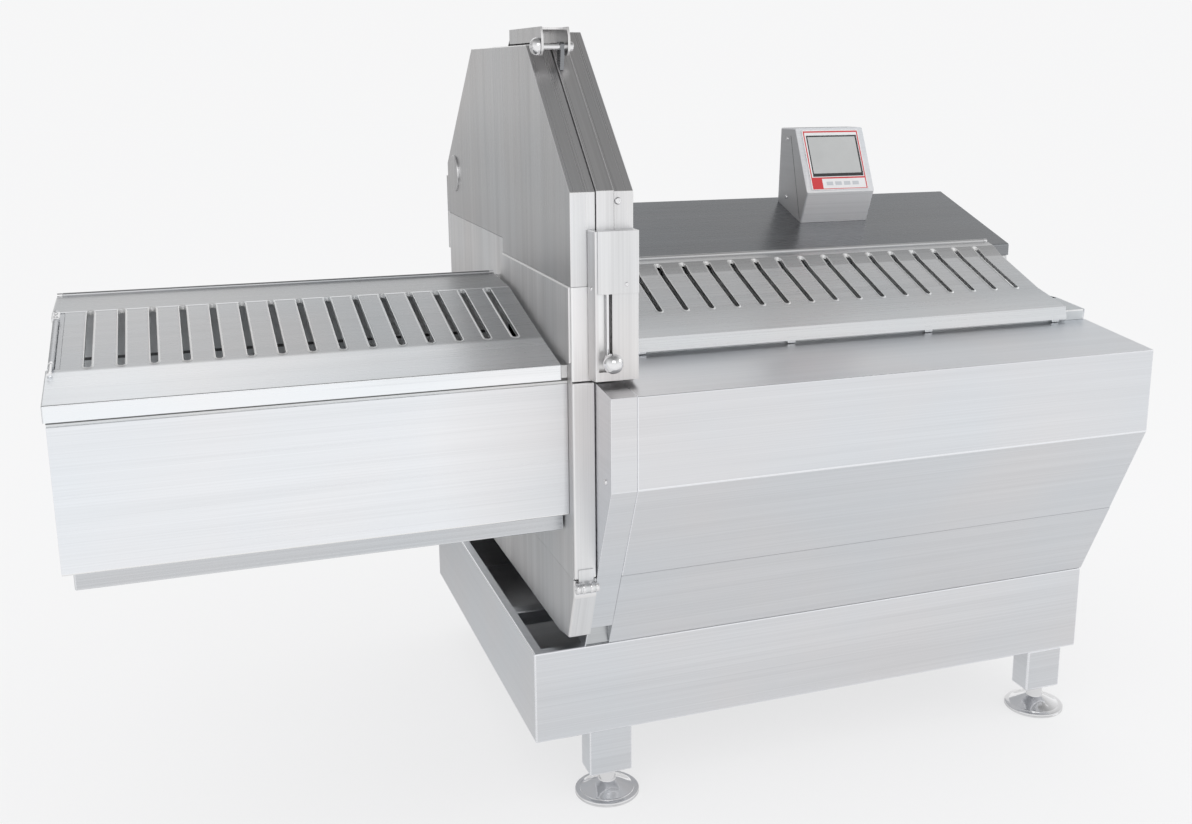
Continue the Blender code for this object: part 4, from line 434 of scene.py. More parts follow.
def try_bevel(piece: Piece, keys: Keys, radius: float, test: Soundness) -> bool:
    """Bevel the named edges, and take the bevel back if it spoils the piece.

    Args:
        piece: the piece to work on.
        keys: the keys of the edges.
        radius: the bevel's width.
        test: the piece's soundness test.

    Returns:
        True if the bevel was kept.
    """
    before = piece.data.copy()
    with editing(piece):
        found = select_edges(piece, lambda edge: edge_key(edge) in keys)
        if found:
            bpy.ops.mesh.bevel(offset=radius, segments=FOLD_STEPS, affect="EDGES", clamp_overlap=False)
    if not found or not test.passes(piece):
        put_back(piece, before)
        return False
    bpy.data.meshes.remove(before)
    # Mark the rounded faces, which the brushed finishes give a painted highlight and a lower roughness.
    mark = piece.data.attributes.get(FOLD_MARK) or piece.data.attributes.new(FOLD_MARK, "FLOAT", "FACE")
    spots = piece.data.vertices
    for polygon in piece.data.polygons:
        if polygon.select:
            sides = [spots[first].co - spots[second].co for first, second in polygon.edge_keys]
            if polygon.area < max(side.length for side in sides) * radius:
                mark.data[polygon.index].value = 1.0
    return True


def round_folds(piece: Piece, radius: float) -> None:
    """Round a sheet piece's outer bends, and mark the new faces for the finish's painted highlight and
    polish.

    Args:
        piece: the piece to work on.
        radius: the width of the rounding on each face.
    """
    tried: Keys = set()
    rounded = 0
    test = Soundness(piece)
    while chain := next_chain(piece, tried):
        for group in [chain] + [{key} for key in sorted(chain) if len(chain) > 1]:
            if any(try_bevel(piece, group, radius * share, test) for share in RADIUS_SHARES):
                rounded += len(group)
                if group == chain:
                    break
    LOG.info("%s: %d bend edges rounded of %d", piece.name, rounded, len(tried))


def soften(piece: Piece, rim: float = RIM_BEVEL) -> None:
    """Break a piece's cut rims, and shade it smooth with its flat faces left flat."""
    if rim:
        test = Soundness(piece)
        for share in RADIUS_SHARES:
            before = piece.data.copy()
            apply_modifier(piece, "BEVEL", width=rim * share, segments=RIM_STEPS, limit_method="ANGLE",
                           angle_limit=RIM_ANGLE, use_clamp_overlap=True)
            if test.passes(piece):
                bpy.data.meshes.remove(before)
                break
            put_back(piece, before)
    select_only(piece)
    bpy.ops.object.shade_smooth_by_angle(angle=SMOOTH_ANGLE)
    apply_modifier(piece, "WEIGHTED_NORMAL", mode="FACE_AREA", weight=NORMAL_WEIGHT, keep_sharp=True)


# ---------------------------------------------------------------------------------------------------------
# Finishes
# ---------------------------------------------------------------------------------------------------------


# A layer or a noise is given by its scale and detail, and a range by what becomes 0 and what becomes 1.
ALONG_SCALE = 1.2
BRUSH_LAYERS = ((430.0, 2.0), (46.0, 3.0))
BRUSH_ROUGHNESS = 0.55
BRUSH_RANGE = (0.3, 0.7)
BLOTCH_NOISE, BLOTCH_RANGE = (2.6, 3.0), (0.32, 0.68)
PATCH_DETAIL, PATCH_ROUGHNESS, PATCH_RANGE = 4.0, 0.6, (0.48, 0.68)
SPECK_NOISE, SPECK_RANGE = (160.0, 2.0), (0.45, 0.75)
CLOUD_NOISE, CLOUD_RANGE = (22.0, 4.0), (0.3, 0.7)
SKIN_DETAIL = 2.0
SCUFFS = {"Scale": 9.0, "Amount": 0.5}
SIDEWAYS_FROM, SIDEWAYS_FULL = 0.68, 0.72
# Faces whose normal looks this far to the front get painted light.
FRONT_FROM, FRONT_FULL = -0.80, -0.90
COAT_ROUGHNESS = 0.06
SCUFF_DULLING = 0.18
SKIN_STRENGTH = 0.35
BRIGHTEST = 0.97
# How much of the painted fold highlight and of the fold polish a rounded fold gets.
FOLD_SHARE = 0.85
FOLD_POLISH = 0.08
LINE_ROUGHNESS = 0.10
LINE_STRENGTH = 0.25
SHEET_SCUFFS = {"Scale": 6.0, "Amount": 0.6}
SHEET_DULLING = 0.04

Colour = tuple[float, float, float]


class Grain(Enum):
    """The axes that a sheet's brushing follows: first on most faces, then on faces that look sideways."""

    ALONG = ((0,), (1,))
    UPRIGHT = ((1, 2), (2,))


class Fade(NamedTuple):
    """A factor or an addition that changes along one axis, from its first value to its last."""

    axis: int
    start: float
    end: float
    first: float
    last: float


class Nodes:
    """A small helper that adds and links shader nodes."""

    def __init__(self, tree: bpy.types.NodeTree) -> None:
        """Keep the tree."""
        self.tree = tree

    def feed(self, node: bpy.types.Node, values: dict) -> None:
        """Set or link a node's inputs.

        Args:
            node: the node.
            values: a value or another node's output for each input, by index or name.
        """
        for key, value in values.items():
            if isinstance(value, Socket):
                self.tree.links.new(value, node.inputs[key])
            else:
                node.inputs[key].default_value = value

    def add(self, kind: str, values: Optional[dict] = None, **settings: object) -> bpy.types.Node:
        """Add a node.

        Args:
            kind: the node's type name.
            values: its inputs, as feed takes them.
            settings: node properties by name.

        Returns:
            The new node.
        """
        node = self.tree.nodes.new(kind)
        for name, value in settings.items():
            setattr(node, name, value)
        self.feed(node, values or {})
        return node

    def math(self, operation: str, first: object, second: object, clamp: bool = False) -> Socket:
        """Return the result of a Math node."""
        node = self.add("ShaderNodeMath", {0: first, 1: second}, operation=operation, use_clamp=clamp)
        return node.outputs[0]

    def mix(self, share: object, first: object, second: object, blend: str = "MIX") -> Socket:
        """Return the colour between two colours, or what another blend makes of them."""
        # Inputs 6 and 7 and output 2 are the Mix node's colour sockets.
        values = {0: share, 6: first, 7: second}
        return self.add("ShaderNodeMix", values, data_type="RGBA", blend_type=blend).outputs[2]

    def ramp(self, value: object, low: float, high: float, to_low: float = 0.0,
             to_high: float = 1.0) -> Socket:
        """Return a value mapped from one range to another, and held inside it."""
        values = {0: value, 1: low, 2: high, 3: to_low, 4: to_high}
        return self.add("ShaderNodeMapRange", values, clamp=True).outputs[0]

    def noise(self, place: object, scale: object, detail: float, roughness: float = 0.5) -> Socket:
        """Return a noise pattern, from 0 to 1."""
        values = {"Vector": place, "Scale": scale, "Detail": detail, "Roughness": roughness}
        return self.add("ShaderNodeTexNoise", values).outputs[0]

    def parts(self, vector: Socket) -> Sequence[Socket]:
        """Return a vector's X, Y and Z."""
        return self.add("ShaderNodeSeparateXYZ", {0: vector}).outputs

    def grey(self, value: Socket) -> Socket:
        """Return the grey of a value."""
        return self.add("ShaderNodeCombineColor", {0: value, 1: value, 2: value}).outputs[0]

    def bump(self, height: Socket, strength: float, distance: float) -> Socket:
        """Return the normal of a surface with small heights on it."""
        values = {"Strength": strength, "Distance": distance, "Height": height}
        return self.add("ShaderNodeBump", values).outputs[0]


def new_group(name: str, inputs: dict[str, float],
              outputs: Sequence[str]) -> tuple[Nodes, Sequence[Socket], Sequence[Socket]]:
    """Make an empty node group with named number sockets.

    Args:
        name: the group's name.
        inputs: the first value of each input by name.
        outputs: the name of each output.

    Returns:
        The group's helper, the sockets that bring its inputs, and those that take its outputs.
    """
    group = bpy.data.node_groups.new(name, "ShaderNodeTree")
    for label, value in inputs.items():
        socket = group.interface.new_socket(label, in_out="INPUT", socket_type="NodeSocketFloat")
        socket.default_value = value
    for label in outputs:
        group.interface.new_socket(label, in_out="OUTPUT", socket_type="NodeSocketFloat")
    nodes = Nodes(group)
    return nodes, nodes.add("NodeGroupInput").outputs, nodes.add("NodeGroupOutput").inputs


def brushing_group(grain: Grain) -> bpy.types.NodeTree:
    """Make the group that draws fine brushing lines, which follow each face's direction.

    Args:
        grain: the way the lines run.

    Returns:
        The group, with outputs Lines, Bands and Blotches, each from 0 to 1.
    """
    nodes, _, leave = new_group("brushing_" + grain.name.lower(), {}, ("Lines", "Bands", "Blotches"))
    place = nodes.add("ShaderNodeTexCoord").outputs
    across_x = nodes.math("ABSOLUTE", nodes.parts(place["Normal"])[0], 0.0)
    sideways = nodes.ramp(across_x, SIDEWAYS_FROM, SIDEWAYS_FULL)
    results = []
    for across, detail in BRUSH_LAYERS:
        noises = []
        for axes in grain.value:
            scale = [ALONG_SCALE if axis in axes else across for axis in range(3)]
            mapped = nodes.add("ShaderNodeMapping", {"Vector": place["Object"], "Scale": scale}).outputs[0]
            noises.append(nodes.noise(mapped, 1.0, detail, BRUSH_ROUGHNESS))
        mixed = nodes.add("ShaderNodeMix", {0: sideways, 2: noises[0], 3: noises[1]}, data_type="FLOAT")
        results.append(nodes.ramp(mixed.outputs[0], *BRUSH_RANGE))
    results.append(nodes.ramp(nodes.noise(place["Object"], *BLOTCH_NOISE), *BLOTCH_RANGE))
    for socket, result in zip(leave, results):
        nodes.tree.links.new(result, socket)
    return nodes.tree


def scuff_group() -> bpy.types.NodeTree:
    """Make the group that gives small scuffs, for wear and hand marks on any finish."""
    nodes, entry, leave = new_group("scuffs", SCUFFS, ("Scuffs",))
    place = nodes.add("ShaderNodeTexCoord").outputs["Object"]
    patch = nodes.ramp(nodes.noise(place, entry["Scale"], PATCH_DETAIL, PATCH_ROUGHNESS), *PATCH_RANGE)
    speck = nodes.ramp(nodes.noise(place, *SPECK_NOISE), *SPECK_RANGE)
    scuffs = nodes.math("MULTIPLY", nodes.math("MULTIPLY", patch, speck), entry["Amount"], clamp=True)
    nodes.tree.links.new(scuffs, leave[0])
    return nodes.tree


class Paints:
    """The node groups and the finished materials, each made once."""

    def __init__(self) -> None:
        """Make the shared groups."""
        self.brushing = {grain: brushing_group(grain) for grain in Grain}
        self.scuffs = scuff_group()
        self.made: dict[str, bpy.types.Material] = {}

    def get(self, finish: Finish) -> bpy.types.Material:
        """Return a finish's material, made on first use."""
        if finish.name not in self.made:
            self.made[finish.name] = finish.build(self)
        return self.made[finish.name]


@dataclass(frozen=True)
class Finish:
    """A plain finish: one colour that varies a little, with scuffs that change its gloss."""

    name: str
    colour: Colour
    roughness: float
    metallic: float = 0.0
    variation: float = 0.02
    coat: float = 0.0
    bump: float = 0.00004
    bump_scale: float = 700.0

    def shader(self) -> tuple[bpy.types.Material, Nodes, bpy.types.Node]:
        """Return a new material, its node helper and its shader."""
        material = bpy.data.materials.new(self.name)
        material.use_nodes = True
        shader = material.node_tree.nodes["Principled BSDF"]
        nodes = Nodes(material.node_tree)
        nodes.feed(shader, {"Base Color": (*self.colour, 1.0), "Roughness": self.roughness,
                            "Metallic": self.metallic, "Coat Weight": self.coat,
                            "Coat Roughness": COAT_ROUGHNESS})
        return material, nodes, shader

    def build(self, paints: Paints) -> bpy.types.Material:
        """Return the finish's material."""
        material, nodes, shader = self.shader()
        place = nodes.add("ShaderNodeTexCoord").outputs["Object"]
        scuffs = nodes.add("ShaderNodeGroup", node_tree=paints.scuffs).outputs[0]
        cloud = nodes.ramp(nodes.noise(place, *CLOUD_NOISE), *CLOUD_RANGE)
        darker, lighter = ([min(1.0, value * share) for value in self.colour] + [1]
                           for share in (1 - self.variation, 1 + self.variation))
        rough = nodes.math("ADD", self.roughness, nodes.math("MULTIPLY", scuffs, SCUFF_DULLING), clamp=True)
        skin = nodes.bump(nodes.noise(place, self.bump_scale, SKIN_DETAIL), SKIN_STRENGTH, self.bump)
        colour = nodes.mix(cloud, darker, lighter)
        nodes.feed(shader, {"Base Color": colour, "Roughness": rough, "Normal": skin})
        return material


@dataclass(frozen=True)
class BrushedSheet(Finish):
    """Brushed stainless sheet: fine lines, broad bands, a shifting cool and warm cast, a painted highlight
    on its folds, painted light on faces that look to the front, and colour fades along an axis.
    """

    metallic: float = 1.0
    grain: Grain = Grain.ALONG
    warm: Colour = (1.0, 0.985, 0.975)
    cool: Colour = (0.96, 0.985, 1.0)
    line_depth: float = 0.07
    band_depth: float = 0.05
    # Gains for the painted highlight on folds and for the painted light on faces that look to the front.
    fold_highlight_gain: float = 1.18
    front_light_gain: float = 1.0
    fades: tuple[Fade, ...] = ()
    rough_fades: tuple[Fade, ...] = ()

    def base_colour(self, nodes: Nodes, place: Sequence, brushing: Sequence) -> Socket:
        """Return the sheet's colour away from its folds, with painted light on faces that look to the front
        and the finish's fades.

        Args:
            nodes: the material's node helper.
            place: the outputs of its Texture Coordinate node.
            brushing: the outputs of its brushing group.

        Returns:
            The socket that gives the colour.
        """
        lines, bands, blotches = brushing
        spot = nodes.parts(place["Object"])
        gain = nodes.math("ADD", nodes.math("MULTIPLY", lines, self.line_depth),
                          1 - self.line_depth - self.band_depth)
        gain = nodes.math("ADD", gain, nodes.math("MULTIPLY", bands, self.band_depth))
        # Painted light: faces that look to the front are made lighter.
        front_light = nodes.ramp(nodes.parts(place["Normal"])[1], FRONT_FROM, FRONT_FULL, 1.0, self.front_light_gain)
        gain = nodes.math("MULTIPLY", gain, front_light)
        for fade in self.fades:
            gain = nodes.math("MULTIPLY", gain, nodes.ramp(spot[fade.axis], *fade[1:]))
        gain = nodes.math("MINIMUM", gain, BRIGHTEST / max(self.colour))
        cool, warm = ([value * cast for value, cast in zip(self.colour, casts)] + [1]
                      for casts in (self.cool, self.warm))
        return nodes.mix(1.0, nodes.mix(blotches, cool, warm), nodes.grey(gain), "MULTIPLY")

    def build(self, paints: Paints) -> bpy.types.Material:
        """Return the finish's material."""
        material, nodes, shader = self.shader()
        place = nodes.add("ShaderNodeTexCoord").outputs
        brushing = nodes.add("ShaderNodeGroup", node_tree=paints.brushing[self.grain]).outputs[:3]
        scuffs = nodes.add("ShaderNodeGroup", SHEET_SCUFFS, node_tree=paints.scuffs).outputs[0]
        # Painted highlight: rounded folds are mixed towards a lighter colour; the same mark also polishes
        # them with a lower roughness.
        fold = nodes.add("ShaderNodeAttribute", attribute_name=FOLD_MARK).outputs["Fac"]
        fold_polish_and_highlight = nodes.math("MULTIPLY", fold, FOLD_SHARE)
        bright = [min(BRIGHTEST, value * self.fold_highlight_gain) for value in self.colour] + [1]
        colour = nodes.mix(fold_polish_and_highlight, self.base_colour(nodes, place, brushing), bright)
        rough = nodes.math("ADD", nodes.math("MULTIPLY", brushing[0], LINE_ROUGHNESS),
                           self.roughness - LINE_ROUGHNESS / 2)
        rough = nodes.math("ADD", rough, nodes.math("MULTIPLY", scuffs, SHEET_DULLING))
        spot = nodes.parts(place["Object"])
        for fade in self.rough_fades:
            rough = nodes.math("ADD", rough, nodes.ramp(spot[fade.axis], *fade[1:]))
        rough = nodes.math("SUBTRACT", rough, nodes.math("MULTIPLY", fold_polish_and_highlight, FOLD_POLISH), clamp=True)
        nodes.feed(shader, {"Base Color": colour, "Roughness": rough,
                            "Normal": nodes.bump(brushing[0], LINE_STRENGTH, self.bump)})
        return material


FRONT_SHEET = BrushedSheet("brushed_front_sheet", (0.78, 0.79, 0.815), roughness=0.34)
# Painted light and shade: a lighter copy of the front sheet, darkened towards the right.
OUTFEED_SHEET = BrushedSheet("brushed_outfeed_sheet", (0.91, 0.92, 0.945), roughness=0.32,
                             fades=(Fade(0, -0.38, -0.17, 1.0, 0.86),))
# Painted highlight: much lighter than the cover sheets that the slot rims are pressed from.
RIM_SHEET = BrushedSheet("pressed_rim_sheet", (0.95, 0.955, 0.96), roughness=0.42, line_depth=0.02,
                         band_depth=0.02)
LINER_SHEET = BrushedSheet("blasted_liner_sheet", (0.84, 0.85, 0.86), roughness=0.66, line_depth=0.04)
TOP_SHEET = BrushedSheet("brushed_top_sheet", (0.66, 0.67, 0.69), roughness=0.30, line_depth=0.12)
# Painted shadow: together the two fades darken a narrow band just under the lid's lip, and leave the rest
# as it was.
FRAME_SHEET = BrushedSheet("blasted_frame_sheet", (0.93, 0.935, 0.94), roughness=0.60, line_depth=0.04,
                           fades=(Fade(2, 0.8008, 0.8018, 1.0, 0.20), Fade(2, 0.8060, 0.8070, 1.0, 5.0)))
# Painted light and shade: lighter on the front lip and on faces that look to the front, darker from the
# rear fold back and towards the right.
LID_SHEET = BrushedSheet("brushed_lid_sheet", (0.64, 0.65, 0.665), roughness=0.30, line_depth=0.10,
                         front_light_gain=1.3, fades=(Fade(1, -0.309, -0.301, 1.52, 1.0),
                                                Fade(1, -0.097, -0.085, 1.0, 0.74),
                                                Fade(0, -0.91, -0.45, 1.05, 0.77)))
# Painted light and shade: a lighter copy of the top sheet, darkened from the rear fold back.
HOOD_SHEET = BrushedSheet("brushed_hood_sheet", (0.80, 0.81, 0.825), roughness=0.30, line_depth=0.10,
                          fades=(Fade(1, -0.101, -0.099, 1.0, 0.80),))
# Painted shade: a darker copy of the brushed sheet, whose colour stands in for its dark reflection.
DECK_SHEET = BrushedSheet("brushed_deck_sheet", (0.28, 0.29, 0.305), roughness=0.27, line_depth=0.10,
                          band_depth=0.06)
# Painted light: faces that look to the front are made lighter.
HOUSING_SHEET = BrushedSheet("brushed_housing_sheet", (0.72, 0.715, 0.72), roughness=0.30,
                             grain=Grain.UPRIGHT, line_depth=0.08, band_depth=0.12, front_light_gain=1.22,
                             rough_fades=(Fade(2, 1.06, 0.97, 0.0, 0.16),))
# Painted light: a lighter copy of the housing sheet, and faces that look to the front are made lighter; it
# is also darker towards the bottom.
CASING_SHEET = BrushedSheet("brushed_casing_sheet", (0.93, 0.925, 0.93), roughness=0.60,
                            grain=Grain.UPRIGHT, line_depth=0.08, band_depth=0.12, front_light_gain=1.25,
                            fades=(Fade(2, 0.80, 0.93, 0.84, 1.0),))
# Painted light: faces that look to the front are made much lighter.
CONTROL_SHEET = BrushedSheet("brushed_control_sheet", (0.66, 0.665, 0.68), roughness=0.62, front_light_gain=1.45)
INNER_SHEET = BrushedSheet("satin_inner_sheet", (0.60, 0.61, 0.62), roughness=0.36)
GROUND_STEEL = BrushedSheet("ground_steel", (0.72, 0.73, 0.74), roughness=0.22, line_depth=0.05,
                            band_depth=0.03)
CHROME = Finish("polished_chrome", (0.82, 0.82, 0.83), roughness=0.10, metallic=1.0)
DARK_PAINT = Finish("dark_motor_paint", (0.07, 0.08, 0.09), roughness=0.38, coat=0.3, variation=0.12)
BELT_RUBBER = Finish("belt_rubber", (0.06, 0.06, 0.062), roughness=0.7, variation=0.2, bump=0.0002)
FOOD_BELT = Finish("food_belt", (0.80, 0.83, 0.86), roughness=0.45, variation=0.04, bump=0.0003,
                   bump_scale=420.0)
WHITE_FILM = Finish("overlay_white_film", (0.80, 0.80, 0.81), roughness=0.3, coat=0.4)
RED_FILM = Finish("overlay_red_film", (0.62, 0.035, 0.04), roughness=0.3, coat=0.4, variation=0.04)
GREY_FILM = Finish("overlay_grey_film", (0.55, 0.57, 0.60), roughness=0.3, coat=0.4, variation=0.03)
DARK_BEZEL = Finish("screen_bezel", (0.02, 0.022, 0.024), roughness=0.25, coat=0.6, variation=0.1)
# Painted reflection: the switched-off screen's glass gets a mid grey that stands in for what it reflects.
SCREEN_GLASS = Finish("screen_glass", (0.50, 0.51, 0.51), roughness=0.16, coat=0.8, variation=0.03)


# ---------------------------------------------------------------------------------------------------------
# What every sub-assembly is built with
# ---------------------------------------------------------------------------------------------------------


class Workshop:
    """Dresses pieces: gives each its finish and its body."""

    screw_profile: Profile = ((0, 0.12), (0.36, 0.12), (0.42, 0.5), (0.72, 0.46), (0.95, 0.22), (1, 0),
                              (1, -0.1), (0, -0.1))

    def __init__(self, paints: Paints) -> None:
        """Keep the finishes."""
        self.paints = paints

    def finish(self, piece: Piece, finish: Finish, body: str, slot: str,
               replaced: Sequence[str] = ()) -> None:
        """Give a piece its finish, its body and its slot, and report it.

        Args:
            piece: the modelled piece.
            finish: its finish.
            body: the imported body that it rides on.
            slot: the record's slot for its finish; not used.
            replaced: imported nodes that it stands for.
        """
        piece.data.materials.clear()
        piece.data.materials.append(self.paints.get(finish))
        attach(piece, body)
        if replaced:
            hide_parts(*replaced)
        LOG.info("%s rides on %s", piece.name, body)

    def stand_in(self, piece: Piece, finish: Finish, node: str) -> None:
        """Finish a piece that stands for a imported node."""
        self.finish(piece, finish, BODY_OF[node], SLOT_OF[node], [node])

    def add(self, piece: Piece, finish: Finish, body: str, slot: str) -> None:
        """Shade a newly modelled piece smooth, and finish it."""
        soften(piece, rim=0.0)
        self.finish(piece, finish, body, slot)

    def sheet(self, finish: Finish, *nodes: str, radius: float = SHEET_BEND,
              reshape: Optional[Callable[[Piece], None]] = None) -> None:
        """Stand rounded, finished copies in for packed sheet nodes.

        Args:
            finish: their finish.
            nodes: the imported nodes.
            radius: the width of their bends.
            reshape: changes a copy before its bends are rounded.
        """
        for node in nodes:
            piece = copy_of_node(node, node + "_sheet")
            if reshape:
                reshape(piece)
            round_folds(piece, radius)
            soften(piece)
            self.stand_in(piece, finish, node)

    def refine(self, finish: Finish, *nodes: str, rim: float = RIM_BEVEL) -> None:
        """Stand merged, smoothly shaded copies with broken rims in for machined or moulded nodes.

        Args:
            finish: their finish.
            nodes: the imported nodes.
            rim: the width of their broken rims.
        """
        for node in nodes:
            piece = copy_of_node(node, node + "_refined")
            soften(piece, rim)
            self.stand_in(piece, finish, node)

    def screws(self, name: str, body: str, size: float, *heads: tuple[Spot, Spot]) -> None:
        """Set button-head screws with a round socket on faces, as one piece.

        Args:
            name: the piece's name.
            body: the body that they ride on.
            size: the radius of a head.
            heads: place and outward direction of each head.
        """
        profile = [(size * radius, size * height) for radius, height in self.screw_profile]
        pattern = turned(name, profile, steps=20)
        places = [(turn_towards(outward), at) for at, outward in heads]
        self.add(set_out(name, pattern, places), CHROME, body, CHROME_SLOT)


# ---------------------------------------------------------------------------------------------------------
# The stand: tray, legs and feet
# ---------------------------------------------------------------------------------------------------------


@dataclass
class Stand:
    """The tray, the legs, the levelling feet and the frame that ties them to the housing."""

    leg_left: float = 0.141
    leg_right: float = 1.081
    leg_front: float = 0.030
    leg_rear: float = 0.812
    floor: float = -0.137
    foot_radius: float = 0.059
    neck_radius: float = 0.0155
    tray_screw: Spot = (0.0, 0.741, 0.130)
    screw_radius: float = 0.0060

    def foot_profile(self) -> list[tuple[float, float]]:
        """Return the foot's outline from its spindle's top to the middle of its underside."""
        wide = self.foot_radius
        neck = self.neck_radius
        return [
            (0, 0.079), (0.0072, 0.079), (0.008, 0.078), (0.008, 0.0497), (neck - 0.0012, 0.0497),
            (neck, 0.0485), (neck, 0.0285), (neck + 0.0008, 0.0262), (neck + 0.0035, 0.0245),
            (0.0275, 0.0205), (0.0380, 0.0150), (0.0465, 0.0105), (0.0495, 0.0096), (0.0500, 0.0088),
            (0.0515, 0.0086), (wide - 0.0025, 0.0082), (wide - 0.0008, 0.0074), (wide - 0.0001, 0.0062),
            (wide - 0.0001, 0.0052), (wide - 0.0010, 0.0046), (wide - 0.0010, 0.0040),
            (wide - 0.0001, 0.0034), (wide - 0.0001, 0.0014), (wide - 0.0010, 0.0003), (wide - 0.0030, 0.0),
            (0, 0.0),
        ]

    def build(self, shop: Workshop) -> None:
        """Build and dress the stand."""
        shop.sheet(FRONT_SHEET, "base_tray")
        pattern = turned("foot_pattern", self.foot_profile(), steps=56)
        soften(pattern, rim=0.0)
        for end, depth in (("front", self.leg_front), ("rear", self.leg_rear)):
            for side, across in (("left", self.leg_left), ("right", self.leg_right)):
                shop.sheet(FRONT_SHEET, f"leg_{end}_{side}", radius=0.0035)
                foot = copied(pattern)
                foot.name = f"turned_foot_{end}_{side}"
                set_down(foot, at=(across, depth, self.floor))
                shop.stand_in(foot, CHROME, f"levelling_foot_{end}_{side}")
        bpy.data.objects.remove(pattern, do_unlink=True)
        shop.screws("tray_screw", MACHINE, self.screw_radius, (self.tray_screw, LEFTWARDS))
        shop.refine(INNER_SHEET, "machine_frame")


# ---------------------------------------------------------------------------------------------------------
# The feed body: front panels, trough, deck and covers
# ---------------------------------------------------------------------------------------------------------


@dataclass
class FeedBody:
    """The folded skins round the feed, and what works inside them."""

    cap_screw: Spot = (0.092, -0.122, 0.510)
    screw_radius: float = 0.0052

    def build(self, shop: Workshop) -> None:
        """Build and dress the feed body."""
        shop.sheet(FRONT_SHEET, "left_end_cap", "body_lower_panel", "body_front_panel")
        shop.sheet(FRONT_SHEET, "right_end_plate", radius=0.0010)
        shop.sheet(LINER_SHEET, "trough", radius=0.0026)
        shop.sheet(DECK_SHEET, "rear_deck")
        shop.sheet(FRONT_SHEET, "rear_cover")
        shop.screws("end_cap_screw", MACHINE, self.screw_radius, (self.cap_screw, LEFTWARDS))
        shop.refine(GROUND_STEEL, "guide_rod_front", "guide_rod_rear", "lead_screw")
        shop.refine(INNER_SHEET, "pusher_carriage")
        shop.refine(DARK_PAINT, "feed_motor")


# ---------------------------------------------------------------------------------------------------------
# Slotted covers: the infeed hood and the outfeed lid
# ---------------------------------------------------------------------------------------------------------


@dataclass
class SlottedCover:
    """A folded cover with a row of pressed slots."""

    node: str
    finish: Finish
    path: Profile
    slot_count: int
    slot_first: float
    slot_pitch: float
    slot_width: float
    slot_front: float
    slot_rear: float
    rim_width: float = 0.0030
    rim_height: float = 0.0013
    rise_share: float = 0.55
    crest_share: float = 0.45
    crest_drop: float = 0.25
    wall_drop: float = 0.0070
    wall_thickness: float = 0.0007
    corner_share: float = 0.985
    corner_steps: int = 7

    def height(self, depth: float) -> float:
        """Return the height of the cover's outer face at a depth."""
        for start, end in zip(self.path, self.path[1:]):
            if depth <= end[0]:
                share = (depth - start[0]) / (end[0] - start[0])
                return start[1] + share * (end[1] - start[1])
        return self.path[-1][1]

    def slot_rim(self) -> Piece:
        """Model one pressed rim: a raised lip round the slot, whose wall turns down into it."""
        half = self.slot_width / 2 + self.rim_width
        rim = rectangle(self.node + "_slot_rim", (-half, self.slot_front - self.rim_width),
                        (half, self.slot_rear + self.rim_width))
        with editing(rim, "VERT"):
            select_whole()
            bpy.ops.mesh.bevel(offset=half * self.corner_share, segments=self.corner_steps,
                               affect="VERTICES", clamp_overlap=True)
            bpy.ops.mesh.select_mode(type="FACE")
            select_whole()
            bpy.ops.mesh.inset(thickness=self.rim_width * self.rise_share, depth=self.rim_height)
            bpy.ops.mesh.inset(thickness=self.rim_width * self.crest_share,
                               depth=-self.rim_height * self.crest_drop)
            bpy.ops.mesh.extrude_region_move(TRANSFORM_OT_translate={"value": (0, 0, -self.wall_drop)})
            bpy.ops.mesh.delete(type="FACE")
            for depth, _ in self.path[1:-1]:
                if self.slot_front < depth < self.slot_rear:
                    select_whole()
                    bpy.ops.mesh.bisect(plane_co=(0, depth, 0), plane_no=(0, 1, 0))
        for vertex in rim.data.vertices:
            vertex.co.z += self.height(vertex.co.y)
        apply_modifier(rim, "SOLIDIFY", thickness=self.wall_thickness, offset=-1.0)
        soften(rim, rim=0.0)
        return rim

    def build(self, shop: Workshop) -> None:
        """Build and dress the cover and the rims of its slots."""
        shop.sheet(self.finish, self.node)
        places = [(Matrix.Identity(4), (self.slot_first + index * self.slot_pitch, 0, 0))
                  for index in range(self.slot_count)]
        rims = set_out(self.node + "_slot_rims", self.slot_rim(), places)
        shop.finish(rims, RIM_SHEET, BODY_OF[self.node], SLOT_OF[self.node])


INFEED_HOOD = SlottedCover("infeed_hood", HOOD_SHEET,
                           path=((0.036, 0.682), (0.041, 0.706), (0.130, 0.729), (0.257, 0.778),
                                 (0.290, 0.796), (0.310, 0.801)),
                           slot_count=17, slot_first=0.233, slot_pitch=0.051, slot_width=0.010,
                           slot_front=0.134, slot_rear=0.286)
OUTFEED_LID = SlottedCover("outfeed_lid", LID_SHEET,
                           path=((-0.058, 0.669), (-0.057, 0.694), (0.054, 0.718), (0.268, 0.771),
                                 (0.386, 0.779)),
                           slot_count=15, slot_first=-0.666, slot_pitch=0.0473, slot_width=0.011,
                           slot_front=0.060, slot_rear=0.266)


# ---------------------------------------------------------------------------------------------------------
# The control unit
# ---------------------------------------------------------------------------------------------------------


Edges = tuple[float, float, float, float]


def inset(edges: Edges, left: float, bottom: float, right: float, top: float) -> Edges:
    """Return a rectangle's left, bottom, right and top edge, each moved inwards."""
    return edges[0] + left, edges[1] + bottom, edges[2] - right, edges[3] - top


